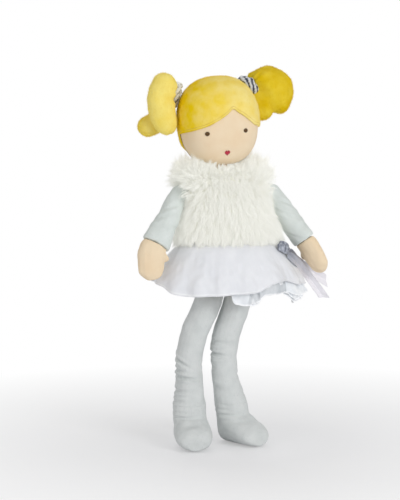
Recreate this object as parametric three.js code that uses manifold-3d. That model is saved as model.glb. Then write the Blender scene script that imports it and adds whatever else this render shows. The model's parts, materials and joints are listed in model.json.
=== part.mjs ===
// Rag doll, 30 cm class: stuffed body and limbs, velour hair with two tied bunches,
// fur vest, gathered organza skirt and a satin sash. Millimetres, +Z up, the doll faces -Y,
// and its own right side is -X. Origin: bottom centre of the whole doll's bounding box.
import * as THREE from 'three';
import { mergeVertices } from 'three/addons/utils/BufferGeometryUtils.js';
import Module from 'manifold-3d';

const wasm = await Module();
wasm.setup();

// General
const sewnGap = 0.35; // clearance between two pieces sewn face to face
const pileGap = 1.2; // free play round a piece that turns inside another

// Legs and feet
const legLength = 130; // sole to hip seam
const ankleHeight = 33;
const thighWidth = 24.6;
const kneeWidth = 22.2;
const ankleWidth = 27;
const footLength = 45;
const footWidth = 31;
const heelHeight = 29;
const toeHeight = 15;
const soleCut = 0.5; // how deep the sole is pressed flat
const hipShift = 4.5; // sideways place of the middle between the legs, from hip to foot
const thighShift = -0.7;
const kneeShift = -13.4;
const ankleShift = -10.1;
const footShift = -7.2;
const kneeSpread = 8; // free space between the legs at the knees
const ankleSpread = 9;
const footSpread = 7.5;
const footTurnRight = -10; // degrees, toes out
const footTurnLeft = 24;

// Torso
const torsoHeight = 90;
const torsoWidth = 58;
const torsoDepth = 34;
const waistShift = 5;
const chestShift = 2.2;
const neckShift = -3;

// Neck and head
const neckRadius = 8.5;
const neckShow = 5.8; // free height between the torso and the chin
const headWidth = 62.8;
const headDepth = 55;
const headHeight = 70.6;
const fullness = 2.35; // exponent of the ball: 2 is an ellipsoid, more is squarer
const headTurn = -6; // degrees
const headTilt = -5;
const eyeSpacing = 31;
const eyeDrop = 7.9; // below the middle of the head
const eyeWidth = 3.6;
const mouthDrop = 24.2;
const mouthWidth = 4.4;
const stitchHeight = 0.8;

// Hair
const hairThickness = 1.3;
const sideSeam = 3.2; // how far behind the middle of the head the side seam runs
const napeAngle = 138; // degrees down from the crown
const partingRise = 9.2; // height of the off-centre parting above the middle of the head
const tieAside = 28;
const tieBack = 12;
const tieRise = 25;
const tieRadius = 8;
const tieThickness = 3.3;
const tieStandoff = 1.7;
const stemRadius = 4.3;

// Arms
const shoulderShare = 0.845; // height of the shoulder on the torso
const armForward = 18; // degrees, as the arms hang
const sleeveDrop = 43;
const sleeveReach = 34;
const sleeveRoot = 7.2;
const sleeveMiddle = 9.4;
const cuffWidth = 24.6;
const cuffDepth = 15;
const handLength = 30;
const handWidth = 22;
const handDepth = 12.8;
const thumbRadius = 4.6;

// Vest
const vestWall = 5;
const hemShare = 0.41; // height of the hem on the torso
const collarShare = 1.03;
const collarRadius = 13.5;

// Skirt
const bandHeight = 6.5;
const bandThickness = 1.7;
const skirtDrop = 42;
const hemShift = 5.1; // sideways place of the middle of the hem
const skirtWidth = 124;
const skirtDepth = 82;
const layerWall = 1.5; // measured level, so it is thinner across a slope
const layerGap = 0.8;
const gathers = 17;
const gatherDepth = 1.8;
const hemLift = 6; // the hem is higher at the sides
const hemTilt = -3; // and lower on the doll's left
const liningShare = 0.95; // how far down the overskirt's drop the lining reaches
const overskirtRise = 9; // how much the overskirt's hem is caught up over the ruffle
const frontSag = 3.4; // how much the hem sags at the doll's right front
const ruffleDrop = 12;
const ruffleWaves = 3;
const ruffleLead = 0.09; // where its first tip hangs, as a share of its length

// Sash
const ribbonWidth = 9;
const ribbonThickness = 1;
const knotWidth = 13;
const knotDepth = 8;

const rad = THREE.MathUtils.degToRad;
const v3 = (x, y, z) => new THREE.Vector3(x, y, z);
const doll = new THREE.Group();

// Smooth curve through rows of numbers, each row being [place, value, value, ...]
function through(rows) {
  const last = rows.length - 1;
  const slope = (i, k) => {
    const a = rows[Math.max(i - 1, 0)];
    const b = rows[Math.min(i + 1, last)];
    return (b[k] - a[k]) / (b[0] - a[0]);
  };
  return (place) => {
    const at = Math.min(Math.max(place, rows[0][0]), rows[last][0]);
    let i = 0;
    while (i < last - 1 && at > rows[i + 1][0]) i += 1;
    const span = rows[i + 1][0] - rows[i][0];
    const t = (at - rows[i][0]) / span;
    return rows[i].slice(1).map((start, n) => {
      const k = n + 1;
      const end = rows[i + 1][k];
      const a = slope(i, k) * span;
      const b = slope(i + 1, k) * span;
      const t2 = t * t;
      const t3 = t2 * t;
      return start * (2 * t3 - 3 * t2 + 1) + a * (t3 - 2 * t2 + t) + end * (3 * t2 - 2 * t3) + b * (t3 - t2);
    });
  };
}

// The smaller of two sizes, with a soft corner between them
const softMin = (a, b) => (a ** -4 + b ** -4) ** -0.25;

// Turns a triangle list outwards, so that the enclosed volume is positive
function outward(positions, index) {
  let volume = 0;
  const p = (i) => v3(...positions.slice(3 * i, 3 * i + 3));
  for (let i = 0; i < index.length; i += 3) {
    volume += p(index[i]).dot(p(index[i + 1]).cross(p(index[i + 2])));
  }
  if (volume < 0) {
    for (let i = 0; i < index.length; i += 3) {
      [index[i + 1], index[i + 2]] = [index[i + 2], index[i + 1]];
    }
  }
  const geometry = new THREE.BufferGeometry();
  geometry.setAttribute('position', new THREE.Float32BufferAttribute(positions, 3));
  geometry.setIndex(index);
  geometry.computeVertexNormals();
  return geometry;
}

// Closed skin over a row of rings; each end closes on a point of its own or on the ring's middle
function skin(rings, startPoint, endPoint) {
  const sides = rings[0].length;
  const positions = rings.flat().flatMap((point) => point.toArray());
  const index = [];
  for (let r = 0; r < rings.length - 1; r += 1) {
    for (let s = 0; s < sides; s += 1) {
      const a = r * sides + s;
      const b = r * sides + ((s + 1) % sides);
      index.push(a, b, a + sides, b, b + sides, a + sides);
    }
  }
  const middle = (ring) => ring.reduce((sum, point) => sum.add(point), v3(0, 0, 0)).divideScalar(sides);
  const ends = [
    [0, startPoint ?? middle(rings[0]), true],
    [(rings.length - 1) * sides, endPoint ?? middle(rings[rings.length - 1]), false],
  ];
  for (const [first, pole, isStart] of ends) {
    const centre = positions.length / 3;
    positions.push(...pole.toArray());
    for (let s = 0; s < sides; s += 1) {
      const a = first + s;
      const b = first + ((s + 1) % sides);
      index.push(...(isStart ? [b, a, centre] : [a, b, centre]));
    }
  }
  return outward(positions, index);
}

// Closed ring of rings, such as a gathered tie or a skirt layer, whose sections are closed loops
function hoop(sections) {
  const sides = sections[0].length;
  const positions = sections.flat().flatMap((point) => point.toArray());
  const index = [];
  for (let r = 0; r < sections.length; r += 1) {
    const next = ((r + 1) % sections.length) * sides;
    for (let s = 0; s < sides; s += 1) {
      const t = (s + 1) % sides;
      index.push(r * sides + s, r * sides + t, next + s, r * sides + t, next + t, next + s);
    }
  }
  return outward(positions, index);
}

// Joins and cuts between closed shapes
function solid(geometry) {
  const bare = new THREE.BufferGeometry();
  bare.setAttribute('position', geometry.getAttribute('position').clone());
  bare.setIndex(geometry.getIndex());
  const merged = mergeVertices(bare, 1e-4);
  return new wasm.Manifold(new wasm.Mesh({
    numProp: 3,
    vertProperties: new Float32Array(merged.getAttribute('position').array),
    triVerts: new Uint32Array(merged.getIndex().array),
  }));
}

function shape(manifold) {
  const mesh = manifold.getMesh();
  const geometry = new THREE.BufferGeometry();
  geometry.setAttribute('position', new THREE.BufferAttribute(new Float32Array(mesh.vertProperties), 3));
  geometry.setIndex(new THREE.BufferAttribute(new Uint32Array(mesh.triVerts), 1));
  geometry.computeVertexNormals();
  return geometry;
}

const joined = (geometries) => geometries.map(solid).reduce((all, next) => all.add(next));

const cloth = (colour, roughness = 0.95) => new THREE.MeshStandardMaterial({ color: colour, roughness, metalness: 0 });
const velourYellow = cloth('#e3cc5e');
const velourGrey = cloth('#cdd1d0');
const velourSleeve = cloth('#d0d7d5');
const skinCloth = cloth('#ecd6b6');
const fur = cloth('#e4e6da', 1);
const lining = cloth('#dfe2e6');
const organza = new THREE.MeshStandardMaterial({ color: '#dfe3ea', roughness: 0.5, transparent: true, opacity: 0.6 });
const satin = cloth('#b9c3d2', 0.35);
const silver = new THREE.MeshStandardMaterial({ color: '#b9b7a5', roughness: 0.35, metalness: 0.6 });
const eyeThread = cloth('#5a4722', 0.6);
const mouthThread = cloth('#b8323f', 0.6);

function piece(name, geometry, material, parent = doll) {
  const mesh = new THREE.Mesh(geometry, material);
  mesh.name = name;
  parent.add(mesh);
  return mesh;
}

// Stuffed tube: rings of two half widths set square to a curve, ends round or flat.
// rows are [share of the length, half width, half depth]; across is the direction of the width.
function stuffed(points, rows, { across, sides = 14, steps = 9, roundStart = 0, roundEnd = 0, grow = 0 }) {
  const curve = new THREE.CatmullRomCurve3(points);
  const size = through(rows);
  const roundShares = [0.04, 0.16, 0.42, 0.75, 1];
  const shares = [];
  if (roundStart) shares.push(...roundShares.map((share) => share * roundStart));
  else shares.push(0);
  const first = shares[shares.length - 1];
  for (let i = 1; i < steps; i += 1) shares.push(first + ((1 - roundEnd - first) * i) / steps);
  if (roundEnd) shares.push(...roundShares.toReversed().map((share) => 1 - share * roundEnd));
  else shares.push(1);
  const rings = shares.map((t) => {
    const along = curve.getTangentAt(t);
    const wide = across.clone().addScaledVector(along, -across.dot(along)).normalize();
    const deep = v3(0, 0, 0).crossVectors(along, wide);
    let swell = 1;
    if (t < roundStart) swell = Math.sqrt(1 - (1 - t / roundStart) ** 2);
    if (1 - t < roundEnd) swell = Math.sqrt(1 - (1 - (1 - t) / roundEnd) ** 2);
    const [halfWidth, halfDepth] = size(t);
    const centre = curve.getPointAt(t);
    return Array.from({ length: sides }, (_, s) => {
      const turn = (2 * Math.PI * s) / sides;
      return centre.clone()
        .addScaledVector(wide, (halfWidth * swell + grow) * Math.cos(turn))
        .addScaledVector(deep, (halfDepth * swell + grow) * Math.sin(turn));
    });
  });
  return skin(rings, curve.getPointAt(0), curve.getPointAt(1));
}

// Level rings stacked in height: each row gives height, middle, half width and half depth
function stacked(rows, sides) {
  return skin(rows.map(([z, x, halfWidth, halfDepth]) => Array.from({ length: sides }, (_, s) => {
    const turn = (2 * Math.PI * s) / sides;
    return v3(x + halfWidth * Math.cos(turn), halfDepth * Math.sin(turn), z);
  })));
}

// Torso: a pillow that closes to a sewn edge at the hips, where the legs hang
const hipZ = legLength;
const torsoTop = hipZ + torsoHeight;
const seamSlope = 0.85; // how fast the stuffing swells away from the hip seam, on both sides
const torsoProfile = through([
  // share of the height, middle, half width and half depth as shares of the largest
  [0, hipShift, 0.86, 0.8],
  [0.1, hipShift, 0.94, 0.88],
  [0.22, hipShift + 0.3, 1, 1],
  [0.4, waistShift, 0.97, 1],
  [0.7, (waistShift + chestShift) / 2, 1, 1],
  [shoulderShare, chestShift, 0.98, 0.9],
  [0.93, (chestShift + neckShift) / 2, 0.86, 0.74],
  [0.98, neckShift, 0.62, 0.56],
  [1, neckShift, 0.42, 0.42],
]);
const torsoSize = (z) => {
  const [middle, width, depth] = torsoProfile((z - hipZ) / torsoHeight);
  const full = (depth * torsoDepth) / 2;
  return [middle, (width * torsoWidth) / 2, softMin(full, seamSlope * Math.max(z - hipZ, 0.05))];
};
function torsoBody(grow, sides = 28) {
  const heights = [0.3, 3, 7, 12, 18, 26, 36, 50, 63, 71, 76, 81, 84, 86.5, 89, 90];
  const rows = heights.map((height) => {
    const z = hipZ + (height * torsoHeight) / 90;
    const [middle, halfWidth, halfDepth] = torsoSize(z);
    return [z, middle, halfWidth + grow, halfDepth + grow];
  });
  rows[rows.length - 1][0] += grow;
  return stacked(rows, sides);
}
const neckCentre = v3(neckShift, 0, torsoTop + neckShow / 2);
const neckBall = (grow) => {
  const ball = new THREE.SphereGeometry(neckRadius + grow, 20, 14);
  ball.rotateX(Math.PI / 2);
  ball.translate(neckCentre.x, neckCentre.y, neckCentre.z);
  return ball;
};
piece('torso', shape(solid(torsoBody(0)).subtract(solid(neckBall(sewnGap)))), skinCloth);
piece('neck', neckBall(0), skinCloth);

// Fur vest: a thick sleeveless shell round the torso, with its arm holes and collar
const shoulderZ = hipZ + shoulderShare * torsoHeight;
const armSides = { right: -1, left: 1 };
// Where the side of the torso stands, over the height that a sleeve's root covers
const torsoSideAt = (side) => {
  const spots = [-1, -0.5, 0, 0.5, 1].map((share) => torsoSize(shoulderZ + share * sleeveRoot));
  const reaches = spots.map(([middle, halfWidth]) => side * middle + halfWidth);
  return side * (Math.max(...reaches) + sewnGap);
};
const vestShape = through([
  // share of the torso's height, middle, then walls outside the torso at the side and front
  [hemShare, waistShift + 0.8, 2.9, 1.9],
  [0.55, waistShift + 0.3, 2, 1.8],
  [0.7, (waistShift + chestShift) / 2, 1.1, 1.6],
  [shoulderShare, chestShift, 0.9, 1.4],
  [0.93, chestShift - 1.2, 1.15, 1],
  [0.975, chestShift - 2.2, 1.1, 0.6],
  [1, chestShift - 3.2, 0.6, 0.2],
  [collarShare, neckShift, -0.6, -0.5],
]);
function vestBody() {
  const shares = [hemShare, 0.44, 0.5, 0.58, 0.68, 0.78, 0.86, 0.91, 0.95, 0.98, 1.01, collarShare];
  return stacked(shares.map((share) => {
    const [middle, side, front] = vestShape(share);
    const z = hipZ + share * torsoHeight;
    return [z, middle, torsoWidth / 2 + side * vestWall, torsoDepth / 2 + front * vestWall];
  }), 28);
}
const neckHole = new THREE.CylinderGeometry(collarRadius, collarRadius, 2 * neckRadius + 10, 24);
neckHole.rotateX(Math.PI / 2);
neckHole.translate(neckCentre.x, neckCentre.y, torsoTop + neckRadius + 1);
let vest = solid(vestBody()).subtract(solid(torsoBody(sewnGap))).subtract(solid(neckHole));
for (const side of Object.values(armSides)) {
  const reach = torsoWidth / 2;
  const armHole = new THREE.CylinderGeometry(sleeveRoot + pileGap, sleeveRoot + pileGap, reach, 20);
  armHole.rotateZ(Math.PI / 2);
  armHole.translate(torsoSideAt(side) + side * (reach / 2 - 2), 0, shoulderZ);
  vest = vest.subtract(solid(armHole));
}
piece('fur_vest', shape(vest), fur);

// Arms: each hangs from its own group at the shoulder, which leans forward
const sleevePath = [
  [0, 0],
  [0.17, 0],
  [0.32, 0.07],
  [0.46, 0.28],
  [0.69, 0.6],
  [1, 1],
];
for (const [name, side, handSplay, twist] of [['right', -1, 10, 0], ['left', 1, 26, 76]]) {
  const arm = new THREE.Group();
  arm.position.set(torsoSideAt(side), 0, shoulderZ);
  arm.rotation.x = rad(-armForward);
  doll.add(arm);
  const path = sleevePath.map(([out, down]) => v3(side * out * sleeveReach, 0, -down * sleeveDrop));
  const wide = v3(side * Math.cos(rad(twist)), -Math.sin(rad(twist)), 0);
  piece(`sleeve_${name}`, stuffed(path, [
    [0, sleeveRoot - 0.4, sleeveRoot - 0.4],
    [0.15, sleeveRoot, sleeveRoot],
    [0.35, 0.9 * sleeveMiddle, 0.9 * sleeveMiddle],
    [0.6, sleeveMiddle, sleeveMiddle],
    [1, cuffWidth / 2, cuffDepth / 2],
  ], { across: wide, steps: 11 }), velourSleeve, arm);

  // Mitten hand, sewn into the cuff; its thumb is on the edge that faces the body or the front
  const wrist = path[path.length - 1];
  const lastRun = wrist.clone().sub(path[path.length - 2]).normalize();
  const start = wrist.clone().addScaledVector(lastRun, sewnGap);
  const down = v3(side * Math.sin(rad(handSplay)), 0, -Math.cos(rad(handSplay)));
  const bend = start.clone().addScaledVector(lastRun, handLength * 0.2);
  const tip = bend.clone().addScaledVector(down, handLength * 0.8);
  const palm = stuffed([start, bend, bend.clone().lerp(tip, 0.5), tip], [
    [0, 0.47 * handWidth, 0.48 * handDepth],
    [0.2, 0.52 * handWidth, 0.5 * handDepth],
    [0.5, 0.5 * handWidth, 0.48 * handDepth],
    [0.8, 0.44 * handWidth, 0.4 * handDepth],
    [1, 0.34 * handWidth, 0.32 * handDepth],
  ], { across: wide, steps: 6, roundEnd: 0.22 });
  const thumbRoot = bend.clone().addScaledVector(down, 0.02 * handLength);
  const inner = wide.clone().multiplyScalar(-1);
  const thumbTip = thumbRoot.clone()
    .addScaledVector(inner, 0.66 * handWidth)
    .addScaledVector(down, 0.24 * handLength);
  const thumb = stuffed([thumbRoot, thumbRoot.clone().lerp(thumbTip, 0.5), thumbTip], [
    [0, thumbRadius, thumbRadius],
    [0.6, thumbRadius, thumbRadius],
    [1, 0.8 * thumbRadius, 0.8 * thumbRadius],
  ], { across: down, sides: 10, steps: 3, roundStart: 0.3, roundEnd: 0.45 });
  piece(`hand_${name}`, shape(joined([palm, thumb])), skinCloth, arm);
}

// Legs: long stuffed tubes that start as an edge at the hip seam and end at the ankle
const hipHalf = thighWidth / 2 + sewnGap;
const legLine = through([
  // height, middle between the legs, half of their spacing, half width, half depth
  [0, footShift, (footSpread + footWidth) / 2, ankleWidth / 2, ankleWidth / 2],
  [ankleHeight, ankleShift, (ankleSpread + ankleWidth) / 2, ankleWidth / 2, ankleWidth / 2],
  [0.4 * legLength, kneeShift + 1, (kneeSpread + ankleSpread + 2 * kneeWidth) / 4 + 0.2, kneeWidth / 2, kneeWidth / 2],
  [0.53 * legLength, kneeShift, (kneeSpread + kneeWidth) / 2, 0.49 * kneeWidth, 0.49 * kneeWidth],
  [0.64 * legLength, kneeShift + 1.6, (0.8 * kneeSpread + kneeWidth) / 2, kneeWidth / 2, kneeWidth / 2],
  [0.75 * legLength, (kneeShift + thighShift) / 2, 0.5 * thighWidth + 1.6, 0.49 * thighWidth, 0.49 * thighWidth],
  [0.86 * legLength, thighShift, hipHalf + 0.3, thighWidth / 2, thighWidth / 2],
  [legLength, hipShift, hipHalf, 0.48 * thighWidth, thighWidth / 2],
]);
for (const [name, side, turn] of [['right', -1, footTurnRight], ['left', 1, footTurnLeft]]) {
  const top = hipZ - sewnGap;
  const bottom = ankleHeight + sewnGap;
  const drops = [0, 2.5, 6, 10, 15, 22, 30, 38, 47, 56, 62, 70, 80, 90];
  const rows = [];
  for (const drop of drops) {
    const z = top - (drop * (top - bottom)) / 90;
    const [middle, half, halfWidth, halfDepth] = legLine(z);
    rows.push([z, middle + side * half, halfWidth, softMin(halfDepth, seamSlope * (hipZ - z))]);
  }
  piece(`leg_${name}`, stacked(rows, 18), velourGrey);

  // Foot: an ankle and a sock, joined, with the sole pressed flat
  const ankleRows = [ankleHeight, 0.8 * ankleHeight, 0.55 * ankleHeight, 0.3 * ankleHeight].map((z) => {
    const [middle, half, halfWidth, halfDepth] = legLine(z);
    return [z, middle + side * half, halfWidth, halfDepth];
  });
  const heel = v3(ankleRows[3][1], 0, 0);
  const forward = v3(Math.sin(rad(turn)), -Math.cos(rad(turn)), 0);
  const heelBack = 0.3 * footLength;
  // shares of the length, of the full width and of the height, from heel to toe
  const sock = [
    [0.03, 0.4, 0.45], [0.1, 0.66, 0.72], [0.22, 0.86, 0.96], [0.38, 0.95, 1], [0.55, 1, 0.9],
    [0.72, 1, 0.76], [0.86, 0.92, 0.66], [0.94, 0.74, 0.55], [0.985, 0.46, 0.38],
  ].map(([share, width, height]) => {
    const tall = height * THREE.MathUtils.lerp(heelHeight, toeHeight / 0.6, Math.max(share - 0.38, 0) / 0.62);
    const centre = heel.clone().addScaledVector(forward, share * footLength - heelBack);
    const across = v3(forward.y, -forward.x, 0);
    return Array.from({ length: 16 }, (_, s) => {
      const angle = (2 * Math.PI * s) / 16;
      const point = centre.clone().addScaledVector(across, 0.5 * width * footWidth * Math.cos(angle));
      point.z = 0.5 * tall * (1 + Math.sin(angle)) + (1 - height) * 2 - soleCut;
      return point;
    });
  });
  const sockBody = solid(skin(sock));
  const ground = new THREE.BoxGeometry(4 * footLength, 4 * footLength, 20);
  ground.translate(heel.x, 0, -10);
  piece(`foot_${name}`, shape(sockBody.add(solid(stacked(ankleRows, 18))).subtract(solid(ground))), velourGrey);
}

// Head: a full round ball, squarer than an ellipsoid, in a group that gives its turn and tilt
const headCentreZ = torsoTop + neckShow + headHeight / 2;
const headGroup = new THREE.Group();
headGroup.position.set(neckShift - 0.4, 0, headCentreZ);
headGroup.rotation.set(0, rad(headTilt), rad(headTurn), 'ZYX');
doll.add(headGroup);
headGroup.updateMatrix();
const headHalf = v3(headWidth / 2, headDepth / 2, headHeight / 2);
// Distance from the middle of the head to its skin, grown by a layer, in a given direction
function headReach(direction, grow) {
  const share = ['x', 'y', 'z']
    .map((axis) => Math.abs(direction[axis] / (headHalf[axis] + grow)) ** fullness)
    .reduce((sum, value) => sum + value);
  return share ** (-1 / fullness);
}
const headPoint = (azimuth, polar, grow) => {
  const direction = v3(-Math.sin(polar) * Math.sin(azimuth), -Math.sin(polar) * Math.cos(azimuth), Math.cos(polar));
  return direction.clone().multiplyScalar(headReach(direction, grow));
};
function headBall(grow, around = 30, down = 17) {
  const rings = [];
  for (let i = 1; i < down; i += 1) {
    rings.push(Array.from({ length: around }, (_, s) => (
      headPoint((2 * Math.PI * s) / around, (Math.PI * i) / down, grow)
    )));
  }
  return skin(rings, headPoint(0, 0, grow), headPoint(0, Math.PI, grow));
}
const toHead = headGroup.matrix.clone().invert();
const neckInHead = neckBall(sewnGap).applyMatrix4(toHead);
piece('head', shape(solid(headBall(0)).subtract(solid(neckInHead))), skinCloth, headGroup);

// Hair cap: a velour shell in two pieces that meet at the side seam over the crown.
// The front piece ends at the hairline, which rises to an off-centre parting.
const hairline = through([
  // azimuth towards the doll's right in degrees, height relative to the middle of the head
  [-100, -7.5],
  [-52, -4.2],
  [-40.7, -0.7],
  [-29.9, 3.5],
  [-21.7, 6.3],
  [-13, partingRise],
  [-3, 5.8],
  [15.5, 0.8],
  [32.5, -2.6],
  [58, -5.2],
  [72, -5.9],
  [100, -7],
]);
const hairlineAzimuths = [0, 15.5, 32.5, 45, 58, 72, 86, 100, 120, 145, 180, 215, 240, 260, 274, 288, 304, 312,
  319.3, 325, 330.1, 335, 338.3, 343, 347, 352, 357];
function hairDome(rim, azimuths, down) {
  const inner = -1;
  const outer = sewnGap + hairThickness;
  const sections = azimuths.map((azimuth) => Array.from({ length: down }, (_, i) => (
    (rim(azimuth) * (i + 1)) / down
  )));
  const positions = [];
  const index = [];
  const columns = azimuths.length;
  const layer = (grow) => {
    const first = positions.length / 3;
    positions.push(...headPoint(0, 0, grow).toArray());
    sections.forEach((polars, c) => polars.forEach((polar) => {
      positions.push(...headPoint(rad(azimuths[c]), polar, grow).toArray());
    }));
    return first;
  };
  const outside = layer(outer);
  const inside = layer(inner);
  const at = (first, c, i) => first + 1 + (c % columns) * down + i;
  for (let c = 0; c < columns; c += 1) {
    index.push(outside, at(outside, c, 0), at(outside, c + 1, 0));
    index.push(inside, at(inside, c + 1, 0), at(inside, c, 0));
    for (let i = 0; i < down - 1; i += 1) {
      for (const [first, a, b] of [[outside, c, c + 1], [inside, c + 1, c]]) {
        index.push(at(first, a, i), at(first, a, i + 1), at(first, b, i));
        index.push(at(first, b, i), at(first, a, i + 1), at(first, b, i + 1));
      }
    }
    const rimOut = [at(outside, c, down - 1), at(outside, c + 1, down - 1)];
    const rimIn = [at(inside, c, down - 1), at(inside, c + 1, down - 1)];
    index.push(rimOut[0], rimIn[0], rimOut[1], rimOut[1], rimIn[0], rimIn[1]);
  }
  return solid(outward(positions, index)).subtract(solid(headBall(sewnGap)));
}
const halfSpace = (low, high) => {
  const block = new THREE.BoxGeometry(3 * headWidth, high - low, 3 * headHeight);
  block.translate(0, (low + high) / 2, 0);
  return solid(block);
};
const signed = (azimuth) => (azimuth > 180 ? azimuth - 360 : azimuth);
const hairlinePolar = (azimuth) => {
  const [height] = hairline(signed(azimuth));
  let polar = Math.PI / 2;
  for (let step = 0; step < 8; step += 1) {
    const point = headPoint(rad(azimuth), polar, 0);
    polar = Math.atan2(Math.hypot(point.x, point.y), height);
  }
  return polar;
};
const farBehind = 2 * headDepth;
const frontDome = hairDome(hairlinePolar, hairlineAzimuths, 7);
piece('hair_front', shape(frontDome.intersect(halfSpace(-farBehind, sideSeam - sewnGap / 2))), velourYellow, headGroup);
const evenAzimuths = Array.from({ length: 24 }, (_, i) => (360 * i) / 24);
const backDome = hairDome(() => rad(napeAngle), evenAzimuths, 8);
piece('hair_back', shape(backDome.intersect(halfSpace(sideSeam + sewnGap / 2, farBehind))), velourYellow, headGroup);

// Face: two embroidered dots and a small heart, each lying on the skin
function facePlace(x, z) {
  const share = Math.abs(x / headHalf.x) ** fullness + Math.abs(z / headHalf.z) ** fullness;
  const y = -headHalf.y * (1 - share) ** (1 / fullness);
  const point = v3(x, y, z);
  const slope = ['x', 'y', 'z'].map((axis) => (
    (Math.sign(point[axis]) * Math.abs(point[axis]) ** (fullness - 1)) / headHalf[axis] ** fullness
  ));
  return { point, normal: v3(...slope).normalize() };
}
function placeOnFace(mesh, x, z) {
  const { point, normal } = facePlace(x, z);
  mesh.position.copy(point.addScaledVector(normal, sewnGap));
  const right = v3(1, 0, 0).addScaledVector(normal, -normal.x).normalize();
  const up = v3(0, 0, 0).crossVectors(normal, right);
  mesh.quaternion.setFromRotationMatrix(new THREE.Matrix4().makeBasis(right, up, normal));
}
for (const [name, side] of Object.entries(armSides)) {
  const dome = new THREE.LatheGeometry([
    new THREE.Vector2(0, 0),
    new THREE.Vector2(0.46 * eyeWidth, 0),
    new THREE.Vector2(0.5 * eyeWidth, 0.35 * stitchHeight),
    new THREE.Vector2(0.36 * eyeWidth, 0.8 * stitchHeight),
    new THREE.Vector2(0, stitchHeight),
  ], 18);
  dome.rotateX(Math.PI / 2);
  placeOnFace(piece(`eye_${name}`, shape(solid(dome)), eyeThread, headGroup), (side * eyeSpacing) / 2, -eyeDrop);
}
const heart = new THREE.Shape();
const half = mouthWidth / 2;
heart.moveTo(0, -half);
heart.bezierCurveTo(0.5 * half, -0.6 * half, half, -0.1 * half, half, 0.4 * half);
heart.bezierCurveTo(half, 1.1 * half, 0.15 * half, 1.1 * half, 0, 0.5 * half);
heart.bezierCurveTo(-0.15 * half, 1.1 * half, -half, 1.1 * half, -half, 0.4 * half);
heart.bezierCurveTo(-half, -0.1 * half, -0.5 * half, -0.6 * half, 0, -half);
const heartBody = new THREE.ExtrudeGeometry(heart, { depth: stitchHeight, bevelEnabled: false, curveSegments: 6 });
placeOnFace(piece('mouth', shape(solid(heartBody)), mouthThread, headGroup), 0, -mouthDrop);

// Bunches of hair: a stem through its tie, and two folded lobes. Each turns at the tie.
const hairGrow = sewnGap + hairThickness;
const bunches = {
  // how far the stem points up, and the lobes as points and half sizes, all from the tie
  right: {
    side: -1,
    rise: 14,
    lobes: [
      [[[7, -11, 14], [14, -13.5, 6], [16.5, -14, -5.5], [14, -14, -17.5], [7, -13.5, -31]],
        [[0, 9.6, 8.2], [0.3, 11.2, 8.8], [0.65, 11, 8.6], [1, 7.6, 7]]],
      [[[7, 0, 2], [9, 0, -8], [13, 2, -19], [20, 3, -24.5], [31, 2, -25.5]],
        [[0, 7, 7], [0.35, 8.4, 8.4], [0.7, 9, 8.8], [1, 8, 7.6]]],
    ],
  },
  left: {
    side: 1,
    rise: 38,
    lobes: [
      [[[3, -1, -1], [9, -5, -13], [13, -7, -27]], [[0, 5, 5], [0.45, 7.6, 7], [0.75, 8.6, 8], [1, 7, 6]]],
      [[[3, -1, 0], [17, -6, -7], [33, -9, -15]], [[0, 5, 5], [0.45, 8.6, 7.6], [0.75, 9.8, 8.6], [1, 8, 7]]],
      [[[3, 0, 2], [18, -4, 2], [37, -7, 1]], [[0, 5, 5], [0.45, 9, 7.6], [0.75, 10.2, 8.6], [1, 8, 7]]],
      [[[3, 0, 3], [12, -2, 7], [25, -3, 11]], [[0, 5, 5], [0.45, 7.6, 7], [0.75, 8.8, 8], [1, 7, 6]]],
      [[[3, 2, 0], [16, 6, -4], [31, 10, -8]], [[0, 5, 5], [0.45, 9, 8], [0.75, 10, 9], [1, 8, 7]]],
    ],
  },
};
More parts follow.
